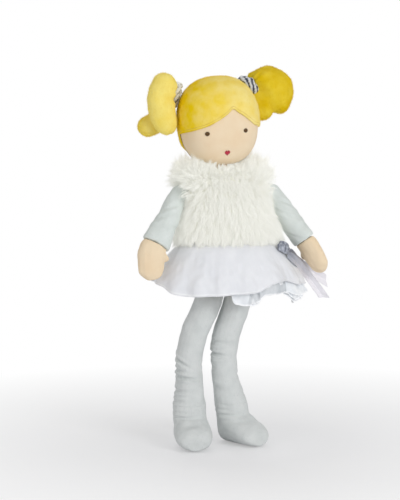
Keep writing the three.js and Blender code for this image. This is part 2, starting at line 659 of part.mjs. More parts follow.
for (const [name, { side, rise, lobes }] of Object.entries(bunches)) {
  const direction = v3(side * tieAside, tieBack, tieRise).normalize();
  const seat = direction.clone().multiplyScalar(headReach(direction, hairGrow)).applyMatrix4(headGroup.matrix);
  const axis = v3(side * Math.cos(rad(rise)), 0.26, Math.sin(rad(rise))).normalize();
  const pivot = seat.clone().addScaledVector(axis, tieThickness + tieStandoff);
  const turner = new THREE.Group();
  turner.position.copy(pivot);
  doll.add(turner);
  const local = new THREE.Matrix4().makeTranslation(-pivot.x, -pivot.y, -pivot.z);
  const cap = solid(headBall(hairGrow + sewnGap).applyMatrix4(headGroup.matrix).applyMatrix4(local));

  const bunchParts = (grow) => [
    stuffed([
      axis.clone().multiplyScalar(-tieThickness - tieStandoff),
      axis.clone().multiplyScalar(0.2 * tieThickness),
      axis.clone().multiplyScalar(2 * tieThickness),
      axis.clone().multiplyScalar(3.6 * tieThickness),
    ], [
      [0, 0.9 * stemRadius, 0.9 * stemRadius],
      [0.5, stemRadius, stemRadius],
      [0.75, 1.5 * stemRadius, 1.5 * stemRadius],
      [1, 2 * stemRadius, 1.9 * stemRadius],
    ], { across: v3(0, 0, 1), sides: 12, steps: 5, roundStart: 0.2, roundEnd: 0.1, grow }),
    ...lobes.map(([points, rows]) => stuffed(
      points.map(([out, back, up]) => v3(side * out, back, up)),
      rows,
      { across: v3(1, 0, 0.4 * side), sides: 14, steps: 5, roundStart: 0.16, roundEnd: 0.2, grow },
    )),
  ];
  piece(`pigtail_${name}`, shape(joined(bunchParts(0)).subtract(cap)), velourYellow, turner);

  // Gathered tie: a ring with ruffles round the stem
  const across = v3(0, 1, 0).addScaledVector(axis, -axis.y).normalize();
  const over = v3(0, 0, 0).crossVectors(axis, across);
  const rings = Array.from({ length: 30 }, (_, i) => {
    const turn = (2 * Math.PI * i) / 30;
    const spoke = across.clone().multiplyScalar(Math.cos(turn)).addScaledVector(over, Math.sin(turn));
    const ruffle = 1 + 0.12 * Math.cos(10 * turn);
    return Array.from({ length: 8 }, (__, j) => {
      const round = (2 * Math.PI * j) / 8;
      return spoke.clone().multiplyScalar(tieRadius + 0.9 * tieThickness * ruffle * Math.cos(round))
        .addScaledVector(axis, tieThickness * Math.sin(round));
    });
  });
  const tie = solid(hoop(rings)).subtract(cap).subtract(joined(bunchParts(sewnGap)));
  piece(`hair_tie_${name}`, shape(tie), silver, turner);
}

// Skirt: waistband, lining, gathered organza over it and a longer ragged layer under it
const bandTop = hipZ + hemShare * torsoHeight - 1;
const bandBottom = bandTop - bandHeight;
const bandRows = (grow) => [bandTop, bandBottom].map((z) => {
  const [middle, halfWidth, halfDepth] = torsoSize(z);
  return [z, middle, halfWidth + grow, halfDepth + grow];
});
const tallRows = (grow, extra) => {
  const rows = bandRows(grow);
  rows[0][0] += extra;
  rows[1][0] -= extra;
  return rows;
};
const band = solid(stacked(bandRows(sewnGap + bandThickness), 40)).subtract(solid(stacked(tallRows(sewnGap, 3), 40)));
piece('waistband', shape(band), lining);

const skirtFlare = through([
  // share of the drop, then half width and half depth between the waist and the hem
  [0, 0, 0],
  [0.12, 0.3, 0.34],
  [0.3, 0.52, 0.56],
  [0.55, 0.76, 0.78],
  [0.8, 0.93, 0.94],
  [1, 1, 1],
]);
const waistHalf = (() => {
  const [, halfWidth, halfDepth] = torsoSize(bandTop);
  return [halfWidth, halfDepth].map((size) => size + sewnGap + bandThickness + layerGap);
})();
// A point of the skirt: angle from the doll's left, share of the drop and layer distance outwards
function skirtPoint(angle, share, out, hemDrop = 0, folded = 1) {
  const [flareWide, flareDeep] = skirtFlare(share);
  const wide = THREE.MathUtils.lerp(waistHalf[0], skirtWidth / 2, flareWide);
  const deep = THREE.MathUtils.lerp(waistHalf[1], skirtDepth / 2, flareDeep);
  const wave = Math.cos(gathers * angle + 0.8 * Math.sin(3 * angle));
  const reach = out + folded * gatherDepth * (0.08 + 0.92 * share ** 1.5) * wave;
  const side = Math.cos(angle);
  const lift = hemLift * side * side + hemTilt * side;
  const z = bandTop - share * (skirtDrop - lift * share) - hemDrop * share ** 3;
  const middle = THREE.MathUtils.lerp(waistShift, hemShift, share);
  return v3(middle + (wide + reach) * side, (deep + reach) * Math.sin(angle), z);
}
const skirtShares = [0, 0.12, 0.32, 0.62, 1];
function skirtLayer(out, { from = 0, to = 1, hemDrop = () => 0, angles }) {
  const outer = skirtShares.map((share) => from + (to - from) * share);
  return angles.map((angle) => [
    ...outer.map((share) => skirtPoint(angle, share, out + layerWall, hemDrop(angle))),
    ...outer.toReversed().map((share) => skirtPoint(angle, share, out, hemDrop(angle))),
  ]);
}
const columnStep = (2 * Math.PI) / (4 * gathers);
const roundAngles = Array.from({ length: 4 * gathers }, (_, i) => i * columnStep);
const sag = (angle) => frontSag * Math.max(0, Math.cos(angle + 2.42)) ** 8;
const liningLayer = skirtLayer(0, { to: liningShare, hemDrop: sag, angles: roundAngles });
piece('skirt_lining', hoop(liningLayer), lining);
const overStep = layerWall + layerGap;
const overDrop = (angle) => sag(angle) - overskirtRise * Math.max(0, Math.cos(angle + 0.98)) ** 5;
const overLayer = skirtLayer(overStep, {
  hemDrop: overDrop,
  angles: roundAngles,
});
piece('organza_overskirt', hoop(overLayer), organza);

// The ruffle runs from the middle of the front round the doll's left to the back
const ruffleFrom = -20; // counted in columns of the skirt, from the doll's left side
const ruffleTo = 12;
const ruffleAngles = [];
for (let i = ruffleFrom; i <= ruffleTo; i += 1) ruffleAngles.push(i * columnStep);
const ruffleSpan = (ruffleTo - ruffleFrom) * columnStep;
const ruffleHem = (angle) => {
  const along = (angle - ruffleAngles[0]) / ruffleSpan;
  const taper = Math.sin(Math.PI * along) ** 0.5;
  return taper * ruffleDrop * (0.56 + 0.44 * Math.cos(2 * Math.PI * ruffleWaves * (along - ruffleLead)));
};
const ruffleLayer = skirtLayer(-overStep, {
  from: 0.35,
  to: liningShare,
  hemDrop: ruffleHem,
  angles: ruffleAngles,
});
piece('organza_ruffle', skin(ruffleLayer), organza);

// Sash: a folded knot on the skirt at the doll's left front, and two free tails
const onSkirt = (degrees, share, standOff) => (
  skirtPoint(rad(degrees), share, overStep + layerWall + sewnGap + standOff, 0, 0)
);
const knotAngle = -36;
const knotShare = 0.17;
const knotOut = v3(Math.cos(rad(knotAngle)), Math.sin(rad(knotAngle)), 0.5).normalize();
const knotCentre = onSkirt(knotAngle, knotShare, 0).addScaledVector(knotOut, 0.34 * knotDepth);
const tailRun = onSkirt(knotAngle + 14, knotShare + 0.14, 0).sub(onSkirt(knotAngle, knotShare, 0)).normalize();
const knot = (grow) => stuffed([
  knotCentre.clone().addScaledVector(tailRun, -0.5 * knotWidth),
  knotCentre.clone().addScaledVector(knotOut, 0.8),
  knotCentre.clone().addScaledVector(tailRun, 0.5 * knotWidth),
], [
  [0, 0.5 * ribbonWidth, 0.38 * knotDepth],
  [0.5, 0.5 * ribbonWidth, 0.5 * knotDepth],
  [1, 0.45 * ribbonWidth, 0.34 * knotDepth],
], { across: v3(0.3, 0.2, 0.9), sides: 14, steps: 5, roundStart: 0.25, roundEnd: 0.2, grow });
const skirtFilled = solid(skin(skirtShares.map((share) => roundAngles.map((angle) => (
  skirtPoint(angle, share, overStep + layerWall + sewnGap, overDrop(angle))
)))));
piece('sash_knot', shape(solid(knot(0)).subtract(skirtFilled)), satin);

// Flat ribbon along a few points; its width direction turns from the first to the last
function ribbon(points, widthStart, widthEnd, slant) {
  const curve = new THREE.CatmullRomCurve3(points);
  const rings = [];
  const steps = 10;
  for (let i = 0; i <= steps; i += 1) {
    const t = i / steps;
    const along = curve.getTangentAt(t);
    const wide = widthStart.clone().lerp(widthEnd, t);
    wide.addScaledVector(along, -wide.dot(along)).normalize();
    const face = v3(0, 0, 0).crossVectors(along, wide);
    const centre = curve.getPointAt(t);
    const cut = i === steps ? slant : 0;
    rings.push([[-1, -1], [1, -1], [1, 1], [-1, 1]].map(([w, f]) => centre.clone()
      .addScaledVector(wide, (w * ribbonWidth) / 2)
      .addScaledVector(face, (f * ribbonThickness) / 2)
      .addScaledVector(along, cut * w)));
  }
  return skin(rings);
}
// Each tail: where it leaves the knot, two places on the skirt, two free places beyond, end slant
const knotEnd = knotCentre.clone().addScaledVector(tailRun, 0.5 * knotWidth + sewnGap);
const overFolds = gatherDepth * 0.6 + ribbonThickness;
const tails = {
  sash_tail_back: { start: [0, 0.6, 1.4], on: [[-20, 0.3], [-7, 0.42]], free: [[14, 5, -9], [31, 6, -19]], slant: -3.2 },
  sash_tail_front: { start: [-0.4, -1, -1.8], on: [[-24, 0.4], [-10, 0.56]], free: [[12, 3, -13], [23, 4, -27]], slant: 3.4 },
};
const tailRoom = solid(knot(sewnGap)).add(skirtFilled);
for (const [name, { start, on, free, slant }] of Object.entries(tails)) {
  const lying = on.map(([degrees, share]) => onSkirt(degrees, share, overFolds));
  const last = lying[lying.length - 1];
  const points = [knotEnd.clone().add(v3(...start)), ...lying, ...free.map((run) => last.clone().add(v3(...run)))];
  const flat = ribbon(points, v3(0.3, -0.2, 0.85), v3(0.5, 0, 0.85), slant);
  piece(name, shape(solid(flat).subtract(tailRoom)), satin);
}

// The origin goes to the bottom centre of the whole doll's box
doll.updateMatrixWorld(true);
const box = new THREE.Box3().setFromObject(doll, true);
const middle = box.getCenter(v3(0, 0, 0));
doll.position.set(-middle.x, -middle.y, -box.min.z);

export default doll;
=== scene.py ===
"""Stuffed cloth doll: velour hair and limbs, fur vest, organza skirt, satin sash.

Metres, +Z up, the doll faces -Y.
"""
import json
import math

import bmesh
import bpy
import numpy as np
from mathutils import Matrix, Vector, kdtree
from mathutils.bvhtree import BVHTree


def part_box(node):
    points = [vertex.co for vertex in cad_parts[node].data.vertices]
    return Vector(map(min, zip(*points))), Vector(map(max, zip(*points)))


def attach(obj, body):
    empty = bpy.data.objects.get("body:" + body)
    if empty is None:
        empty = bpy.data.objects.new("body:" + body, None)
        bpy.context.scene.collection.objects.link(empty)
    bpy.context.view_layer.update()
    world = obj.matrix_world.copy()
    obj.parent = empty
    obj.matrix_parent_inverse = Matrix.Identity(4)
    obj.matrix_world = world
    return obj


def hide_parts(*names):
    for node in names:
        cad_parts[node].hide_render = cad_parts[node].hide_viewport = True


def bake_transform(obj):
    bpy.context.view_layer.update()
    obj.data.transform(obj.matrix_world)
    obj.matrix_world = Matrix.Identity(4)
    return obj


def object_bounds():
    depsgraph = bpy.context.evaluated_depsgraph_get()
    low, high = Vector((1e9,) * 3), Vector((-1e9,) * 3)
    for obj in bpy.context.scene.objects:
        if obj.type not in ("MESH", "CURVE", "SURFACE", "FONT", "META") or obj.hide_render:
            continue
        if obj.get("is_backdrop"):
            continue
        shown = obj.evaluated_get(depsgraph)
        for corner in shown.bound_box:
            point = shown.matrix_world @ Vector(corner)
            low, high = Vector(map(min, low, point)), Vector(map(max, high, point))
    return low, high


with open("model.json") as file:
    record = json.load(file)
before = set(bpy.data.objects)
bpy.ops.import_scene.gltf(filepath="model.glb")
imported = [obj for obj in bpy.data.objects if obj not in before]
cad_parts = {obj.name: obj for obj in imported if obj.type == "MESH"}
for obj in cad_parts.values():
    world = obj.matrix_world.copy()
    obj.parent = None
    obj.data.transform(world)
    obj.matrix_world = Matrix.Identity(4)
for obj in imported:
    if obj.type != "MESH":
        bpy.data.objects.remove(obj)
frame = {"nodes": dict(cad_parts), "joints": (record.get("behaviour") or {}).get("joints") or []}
cad_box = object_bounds()

MM = 0.001
JOINT = {j["name"]: Vector(j["pos_m"]) for j in frame["joints"]}
MIDDLE = JOINT["neck_nod"].x + 3 * MM  # the line that the body's sideways places are counted from
rng = np.random.default_rng(11)


def at(x, y, z):
    """A place in mm, counted from the middle of the body at the soles."""
    return Vector((MIDDLE + x * MM, y * MM, z * MM))


def placed(name, data):
    """A new object in the scene that holds this data."""
    thing = bpy.data.objects.new(name, data)
    bpy.context.scene.collection.objects.link(thing)
    return thing


# Camera and light, at the photograph's angle

def aim(thing, target):
    back = (thing.location - Vector(target)).normalized()
    side = Vector((0, 0, 1)).cross(back).normalized()
    thing.rotation_euler = Matrix((side, back.cross(side), back)).transposed().to_euler()


camera = placed("camera", bpy.data.cameras.new("camera"))
camera.data.lens = 105.9
camera.data.sensor_width = 36
camera.data.clip_start = 0.05
camera.location = at(-403.4, -1116.7, 258.9)
aim(camera, camera.location + Vector((0.32440, 0.94212, -0.08472)))
bpy.context.scene.camera = camera


def lamp(name, place, size, energy):
    light = placed(name, bpy.data.lights.new(name, "AREA"))
    light.data.size = size
    light.data.energy = energy
    light.location = place
    aim(light, (0, 0, 0.17))


lamp("key", (0.45, -1.35, 0.55), 0.6, 7.8)
lamp("fill", (-1.3, -0.85, 0.35), 1.0, 3.5)
lamp("back", (0.2, 1.3, 1.1), 0.8, 4.0)


# Finishes: every one has its colour, nap or weave from nodes

class Flow:
    """A value between two nodes. Arithmetic on it adds Math nodes."""

    def __init__(self, nodes, socket):
        self.nodes = nodes
        self.socket = socket

    def math(self, operation, first, second):
        return self.nodes.node("ShaderNodeMath", {"operation": operation}, {0: first, 1: second})

    def __add__(self, other):
        return self.math("ADD", self, other)

    def __radd__(self, other):
        return self.math("ADD", other, self)

    def __sub__(self, other):
        return self.math("SUBTRACT", self, other)

    def __rsub__(self, other):
        return self.math("SUBTRACT", other, self)

    def __mul__(self, other):
        return self.math("MULTIPLY", self, other)

    def __rmul__(self, other):
        return self.math("MULTIPLY", other, self)


class Nodes:
    """A tree of nodes, and the one way of adding to it."""

    def __init__(self, tree):
        self.tree = tree

    def link(self, flow, socket):
        self.tree.links.new(flow.socket, socket)

    def node(self, kind, settings, inputs, output=0):
        made = self.tree.nodes.new(kind)
        for key, value in settings.items():
            setattr(made, key, value)
        for key, value in inputs.items():
            if isinstance(value, Flow):
                self.link(value, made.inputs[key])
            else:
                made.inputs[key].default_value = value
        return Flow(self, made.outputs[output])


def dye(red, green, blue):
    """A colour as it is seen, 0 to 255, in the linear values of a shader."""
    linear = [((c / 255 + 0.055) / 1.055) ** 2.4 if c > 10 else c / 255 / 12.92 for c in (red, green, blue)]
    return (*linear, 1.0)


class Finish(Nodes):
    """A material, with its shader and what is fed to it."""

    def __init__(self, name, roughness=0.9, sheen=0.0, sheen_tint=(1, 1, 1, 1)):
        self.material = bpy.data.materials.new(name)
        self.material.use_nodes = True
        super().__init__(self.material.node_tree)
        self.shader = self.tree.nodes["Principled BSDF"]
        self.constant("Roughness", roughness)
        self.constant("Sheen Weight", sheen)
        self.constant("Sheen Roughness", 0.45)
        self.constant("Sheen Tint", sheen_tint)
        self.constant("Specular IOR Level", 0.25)
        self.places = self.node("ShaderNodeTexCoord", {}, {}, "Object")

    def constant(self, socket, value):
        self.shader.inputs[socket].default_value = value

    def feed(self, socket, flow):
        self.link(flow, self.shader.inputs[socket])

    def along(self, name):
        """A value that the points of the piece keep under that name."""
        return self.node("ShaderNodeAttribute", {"attribute_name": name}, {}, "Fac")

    def stretched(self, scale, turn=(0, 0, 0)):
        return self.node("ShaderNodeMapping", {}, {"Vector": self.places, "Scale": scale, "Rotation": turn})

    def clouds(self, size_mm, detail=3.0, rough=0.5, scale=(1, 1, 1)):
        """Noise from 0 to 1 whose patches are about size_mm across."""
        inputs = {"Vector": self.stretched(scale), "Scale": 1000 / size_mm, "Detail": detail,
                  "Roughness": rough}
        return self.node("ShaderNodeTexNoise", {"noise_dimensions": "3D"}, inputs)

    def stripes(self, size_mm, turn, distort=0.0):
        """Bands from 0 to 1, size_mm apart."""
        settings = {"wave_type": "BANDS", "bands_direction": "X"}
        inputs = {"Vector": self.stretched((1, 1, 1), turn), "Scale": 1000 / size_mm / math.tau * 2,
                  "Distortion": distort}
        return self.node("ShaderNodeTexWave", settings, inputs, "Fac")

    def between(self, flow, low, high):
        """flow squeezed so that low gives 0 and high gives 1, clamped."""
        inputs = {"Value": flow, "From Min": low, "From Max": high}
        return self.node("ShaderNodeMapRange", {"clamp": True}, inputs)

    def mixed(self, share, first, second):
        settings = {"data_type": "RGBA", "blend_type": "MIX"}
        return self.node("ShaderNodeMix", settings, {0: share, 6: first, 7: second}, 2)

    def colour(self, share, first, second):
        self.feed("Base Color", self.mixed(share, first, second))

    def bump(self, height, depth_mm, strength=1.0):
        inputs = {"Height": height, "Distance": depth_mm * MM, "Strength": strength}
        self.feed("Normal", self.node("ShaderNodeBump", {}, inputs))


def velour(name, light, dark, deep, painted_lightening=0.0, across=None):
    """Short pile: brushed patches of a lighter and a darker tone, and a fine fibre grain.

    The lightening leans it all to the lighter tone: painted light. across gives an axis and two places on it
    between which the colour runs from dark to light: painted shade at one end, painted light at the lit end.
    """
    finish = Finish(name, 0.92, 0.15, dark)
    finish.constant("Specular IOR Level", 0.1)
    # random patches of a lighter and a darker tone, all leaned lighter by the painted lightening
    nap_patches_and_painted_light = finish.between(finish.clouds(10, 2, 0.5), 0.3 - painted_lightening, 0.72 - painted_lightening)
    if across:
        axis, low, high = across
        sideways = finish.node("ShaderNodeSeparateXYZ", {}, {"Vector": finish.places}, axis)
        # painted light and shade: on top of those patches, the colour runs from dark to light along the axis
        nap_patches_and_painted_light = nap_patches_and_painted_light * 0.5 + finish.between(sideways, low, high) * 0.75 - 0.13
    fibres = finish.clouds(0.55, 2, 0.7, (1, 1, 0.25))
    tone = finish.mixed(nap_patches_and_painted_light, dark, light)
    finish.colour(finish.between(fibres, 0.3, 0.42) * 0.4 + 0.6, deep, tone)
    finish.bump(fibres * 0.6 + finish.clouds(2.2, 2) * 0.5 + nap_patches_and_painted_light * 0.1, 0.35, 0.55)
    return finish


# painted light and shade: the cap runs paler towards the doll's left, where the light falls, deeper towards
# its right
HAIR = velour("hair_velour", dye(252, 235, 156), dye(243, 212, 14), dye(222, 185, 2),
              across=("X", MIDDLE - 34 * MM, MIDDLE + 14 * MM))
BUNCH = {
    # painted light and shade: the right bunch is leaned lighter where its front catches the light, deeper at
    # its back lobe
    "right": velour("hair_velour_painted_light_and_shade", dye(251, 233, 132), dye(242, 211, 14), dye(222, 186, 2),
                    painted_lightening=0.1, across=("Y", 30 * MM, 6 * MM)),
    # painted shade: the left bunch is a darker copy of the hair velour, for the shade it lies in
    "left": velour("hair_velour_painted_shade", dye(236, 211, 66), dye(226, 193, 14), dye(199, 163, 1)),
}
SLEEVE = velour("sleeve_velour", dye(225, 231, 228), dye(216, 223, 219), dye(194, 201, 198))
LEG = velour("leg_velour", dye(220, 223, 222), dye(210, 214, 213), dye(185, 190, 189))

# Fine knitted skin cloth, a little warmer where it is rubbed
SKIN = Finish("skin_jersey", 0.82, 0.12, (1, 0.95, 0.9, 1))
warm = SKIN.between(SKIN.clouds(14, 3), 0.35, 0.7)
wales = SKIN.stripes(0.55, (0, 0, 0), 1.5)
courses = SKIN.stripes(0.5, (0, math.pi / 2, 0), 1.5)
SKIN.colour(warm * 0.7 + wales * 0.15, dye(243, 223, 192), dye(238, 213, 178))
SKIN.bump(wales * 0.5 + courses * 0.5 + SKIN.clouds(1.6, 2) * 0.8, 0.12, 0.5)

PILE_BASE = Finish("fur_backing", 0.95, 0.2)
PILE_BASE.colour(PILE_BASE.clouds(2.5), dye(240, 239, 230), dye(250, 250, 245))
PILE_BASE.bump(PILE_BASE.clouds(0.8, 3), 0.5)

FUR = Finish("fur_strands", 0.8, 0.0)
tip = FUR.along("tip")
FUR.colour(FUR.between(tip + FUR.clouds(9, 2) * 0.5, 0.0, 0.7), dye(239, 238, 227), dye(250, 250, 246))
FUR.feed("Roughness", 0.85 - tip * 0.2)

for finish in (PILE_BASE, FUR):
    # stands for the light that passes through fine pile
    finish.constant("Emission Color", dye(252, 252, 246))
    finish.constant("Emission Strength", 0.1)

LINING = Finish("lining_weave", 0.75, 0.1)
LINING.colour(LINING.clouds(10, 3), dye(238, 240, 243), dye(245, 246, 248))
LINING.bump(LINING.stripes(0.6, (0, 0, 0)) + LINING.stripes(0.6, (0, math.pi / 2, 0)), 0.08, 0.4)


def organza(name, light, dark, low_alpha, high_alpha, contrast=1.0, painted_glow=0.0):
    """Thin stiff weave that lets some of what is under it through; denser along its turned hem."""
    finish = Finish(name, 0.45, 0.1)
    threads = finish.stripes(0.45, (0, 0, 0.2), 0.5) + finish.stripes(0.45, (0, math.pi / 2, 0), 0.5)
    folds = finish.clouds(12, 3)
    hem = finish.between(finish.along("along"), 0.95, 0.99)
    # light and dark patches; at the veils' raised contrast they paint light and shade for their crumples
    tone = finish.mixed(finish.between(folds, 0.5 - 0.5 / contrast, 0.5 + 0.5 / contrast), dark, light)
    finish.colour(hem, tone, dye(250, 251, 253))
    weave = finish.between(threads * 0.5 + folds * 0.35, 0.1, 1.0) * (high_alpha - low_alpha) + low_alpha
    finish.feed("Alpha", weave + hem * (1 - weave) * 0.8)
    # painted glow: a faint even emission standing for the light that the veils catch and let through
    finish.constant("Emission Color", light)
    finish.constant("Emission Strength", painted_glow)
    finish.bump(threads, 0.06, 0.35)
    return finish


ORGANZA = organza("organza_top", dye(245, 246, 249), dye(235, 237, 242), 0.88, 0.98)
# painted shade: the veils' organza is greyer, for the shade they hang in under the skirt
VEIL = organza("organza_painted_shade_veil", dye(246, 248, 250), dye(208, 214, 219), 0.4, 0.76, 3.0, 0.05)
# painted light: a brighter copy of the veil organza, for the veil parts that catch the light
PAINTED_LIGHT_VEIL = organza("organza_painted_light_veil", dye(252, 253, 254), dye(228, 233, 238), 0.66, 0.92, 2.5, 0.1)


def satin(name, patch_mm, stretch, depth_mm, strength):
    """Smooth ribbon with fine ribs, and the soft patches of its gloss."""
    finish = Finish(name, 0.3, 0.2)
    gloss = finish.clouds(patch_mm, 2, 0.5, stretch)
    finish.feed("Roughness", 0.24 + gloss * 0.2)
    finish.bump(finish.stripes(0.5, (0, 0.6, 0.3), 0.6) * 0.4 + gloss, depth_mm, strength)
    return finish, gloss


SATIN, gloss_and_painted_highlight = satin("satin_ribbon", 5, (1, 1, 3), 0.12, 0.4)
# painted shade: the tails are darker by the knot, where they lie in shade by the arm, and paler out to their
# tips
painted_shade_fade = SATIN.between(SATIN.along("along"), 0.1, 0.75)
painted_shade_tone = SATIN.mixed(painted_shade_fade, dye(162, 166, 176), dye(242, 240, 245))
# painted highlight: paler where the gloss patches are
SATIN.colour(gloss_and_painted_highlight * 0.3, painted_shade_tone, dye(238, 238, 243))
# painted shade: the knot is a darker copy of the satin, with painted highlight on its gloss patches
KNOT, gloss_and_painted_highlight = satin("satin_knot_painted_shade", 4, (2, 2, 0.7), 0.14, 0.5)
KNOT.colour(KNOT.between(gloss_and_painted_highlight, 0.35, 0.65), dye(112, 117, 130), dye(188, 193, 204))


def silver_strip(name, pale, shade, gap):
    """Narrow strips with metal thread wound over one another, dark between them; gap widens the dark."""
    finish = Finish(name, 0.4, 0.1)
    threads = finish.stripes(0.5, (0.5, 0.3, 0), 2.0)
    torn = finish.along("strip") * 0.8 + finish.clouds(1.7, 3, 0.65) * 5 - 2.5
    strip = finish.between(torn, gap - 0.35, gap + 0.35)
    finish.colour(strip, shade, finish.mixed(threads * 0.35, pale, dye(196, 196, 190)))
    finish.feed("Metallic", threads * 0.2)
    finish.feed("Roughness", 0.5 - threads * 0.15)
    finish.bump(threads * 0.3 + strip, 0.3, 0.7)
    return finish


SILVER = {
    "right": silver_strip("silver_strip_pale", dye(250, 250, 244), dye(128, 122, 104), -0.75),
    "left": silver_strip("silver_strip_blue", dye(226, 229, 234), dye(62, 66, 84), -0.05),
}


def thread(name, light, dark):
    finish = Finish(name, 0.45, 0.2)
    finish.colour(finish.clouds(0.7, 2), light, dark)
    finish.bump(finish.stripes(0.12, (0.4, 0.4, 0), 1.0), 0.03, 0.5)
    return finish


EYE_THREAD = thread("eye_thread", dye(112, 84, 48), dye(66, 46, 26))
MOUTH_THREAD = thread("mouth_thread", dye(205, 62, 84), dye(168, 36, 56))
GOLD_THREAD = thread("hair_stitch_thread", dye(224, 192, 84), dye(196, 160, 52))
# partly painted shade: the seam's thread is dark brown for the shadow along the face's lower edge as well
SEAM_THREAD = thread("face_seam_thread_and_painted_shade", dye(158, 122, 84), dye(112, 82, 54))


# Ways of making a piece

def shade(mesh, smooth):
    mesh.polygons.foreach_set("use_smooth", [smooth] * len(mesh.polygons))


def piece_from(name, shape, finish):
    """A finished bmesh as an object at the origin."""
    mesh = bpy.data.meshes.new(name)
    shape.to_mesh(mesh)
    shape.free()
    mesh.materials.append(finish.material)
    shade(mesh, True)
    return placed(name, mesh)


def settle(piece):
    """Applies what the modifiers do."""
    bpy.context.view_layer.update()
    view = bpy.context.evaluated_depsgraph_get()
    shaped = bpy.data.meshes.new_from_object(piece.evaluated_get(view))
    piece.modifiers.clear()
    before = piece.data
    piece.data = shaped
    shaped.name = piece.name
    bpy.data.meshes.remove(before)


def worn(piece, body, replaces=()):
    """Says what a piece moves with and the solids that it takes the place of."""
    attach(piece, body)
    if replaces:
        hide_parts(*replaces)


def read(items, name, width, kind):
    """What name says of every item, in rows of that width."""
    flat = np.empty(len(items) * width, kind)
    items.foreach_get(name, flat)
    return flat.reshape(-1, width)


def places(mesh):
    return read(mesh.vertices, "co", 3, float)


def facings(mesh):
    return read(mesh.vertex_normals, "vector", 3, np.float32).astype(float)


def put(mesh, where):
    mesh.vertices.foreach_set("co", np.asarray(where, np.float32).ravel())
    mesh.update()


def pushed(piece, depth):
    """Moves every point along its normal by its own depth."""
    put(piece.data, places(piece.data) + facings(piece.data) * depth[:, None])


def ramp(values, low, high):
    return np.clip((values - low) / (high - low), 0, 1)


def half_turn(degrees):
    """The same direction, counted from -180 to 180."""
    return (degrees + 180) % 360 - 180


def swell(where, size_mm, seed):
    """Soft unevenness of about that size, mostly within -1 to 1."""
    waves = 9
    pick = np.random.default_rng(seed)
    total = np.zeros(len(where))
    for _ in range(waves):
        way = pick.normal(size=3)
        way *= math.tau / (size_mm * MM) * pick.uniform(0.6, 1.5) / np.linalg.norm(way)
        total += np.sin(where @ way + pick.uniform(0, math.tau))
    return total / math.sqrt(waves * 2)


def wrapped(name, around, down, place, finish, closed=False):
    """A fine grid laid out by place(u, v), both from 0 to 1, with u and v kept on it for the finish."""
    shape = bmesh.new()
    bmesh.ops.create_grid(shape, x_segments=around, y_segments=down, size=0.5)
    across = shape.verts.layers.float.new("across")
    along = shape.verts.layers.float.new("along")
    for vert in shape.verts:
        u, v = vert.co.x + 0.5, vert.co.y + 0.5
        vert[across], vert[along] = u, v
        vert.co = place(u, v)
    if closed:
        bmesh.ops.remove_doubles(shape, verts=shape.verts, dist=1e-6)
    return piece_from(name, shape, finish)


def kept(piece, name):
    """What each point of a wrapped grid kept under that name."""
    return read(piece.data.attributes[name].data, "value", 1, np.float32)[:, 0]


def cloth(piece, thick_mm):
    """Gives a sheet its thickness, with crisp cut edges."""
    wall = piece.modifiers.new("cloth", "SOLIDIFY")
    wall.thickness = thick_mm * MM
    wall.offset = 0
    settle(piece)
    piece.data.set_sharp_from_angle(angle=math.radians(50))


def stuffed(name, node, finish, body, voxel, soften, shaping=None, reform=None):
    """The form of a stuffed piece, evened out like filled cloth, then shaped by its folds and seams.

    reform moves its points before it is softened; shaping gives mm along its normals after.
    """
    shape = bmesh.new()
    shape.from_mesh(frame["nodes"][node].data)
    bmesh.ops.remove_doubles(shape, verts=shape.verts, dist=3e-6)
    piece = piece_from(name, shape, finish)
    even = piece.modifiers.new("even", "REMESH")
    even.mode = "VOXEL"
    even.voxel_size = voxel * MM
    settle(piece)
    if reform:
        put(piece.data, reform(places(piece.data)))
    soft = piece.modifiers.new("soft", "SMOOTH")
    soft.factor = 0.5
    soft.iterations = soften
    settle(piece)
    if shaping:
        pushed(piece, shaping(places(piece.data)) * MM)
    shade(piece.data, True)
    worn(piece, body, [node])
    return piece


def spine(where, step_mm=4):
    """For each point, how far round its limb it lies (0 faces -Y, positive to +X) at its own height."""
    rows = np.floor(where[:, 2] / (step_mm * MM)).astype(int)
    heights = np.unique(rows)
    centres = np.array([(where[rows == r].max(0) + where[rows == r].min(0))[:2] / 2 for r in heights])
    middle_z = (heights + 0.5) * step_mm * MM
    x = np.interp(where[:, 2], middle_z, centres[:, 0])
    y = np.interp(where[:, 2], middle_z, centres[:, 1])
    return np.arctan2(where[:, 0] - x, -(where[:, 1] - y))


RADIAN = 57.3  # degrees


def creases(where, round_it, folds):
    """Folds across a limb: height in mm, side and half spread in degrees, depth and width in mm, slope."""
    total = np.zeros(len(where))
    z = where[:, 2] / MM
    for height, side, spread, depth, width, slope in folds:
        turn = half_turn(np.degrees(round_it) - side)
        near = np.exp(-(turn / spread) ** 2)
        gap = z - height - slope * turn / RADIAN
        total -= depth * near * np.exp(-(gap / width) ** 2)
        banks = np.exp(-((gap - 2 * width) / width) ** 2) + np.exp(-((gap + 2 * width) / width) ** 2)
        total += 0.45 * depth * near * banks
    return total


# mm: how deep a seam draws the cloth in, half the width of that groove, and the length of a stitch
SEAM_DEPTH = 0.45
SEAM_HALF = 0.7
STITCH = 2.2


def seam(where, round_it, side, radius_mm):
    """A sewn line that runs along a limb, drawn in by its stitches."""
    turn = half_turn(np.degrees(round_it) - side)
    away = np.radians(turn) * radius_mm
    stitches = 1 + 0.35 * np.sin(where[:, 2] / MM * math.tau / STITCH)
    return -SEAM_DEPTH * stitches * np.exp(-(away / SEAM_HALF) ** 2)


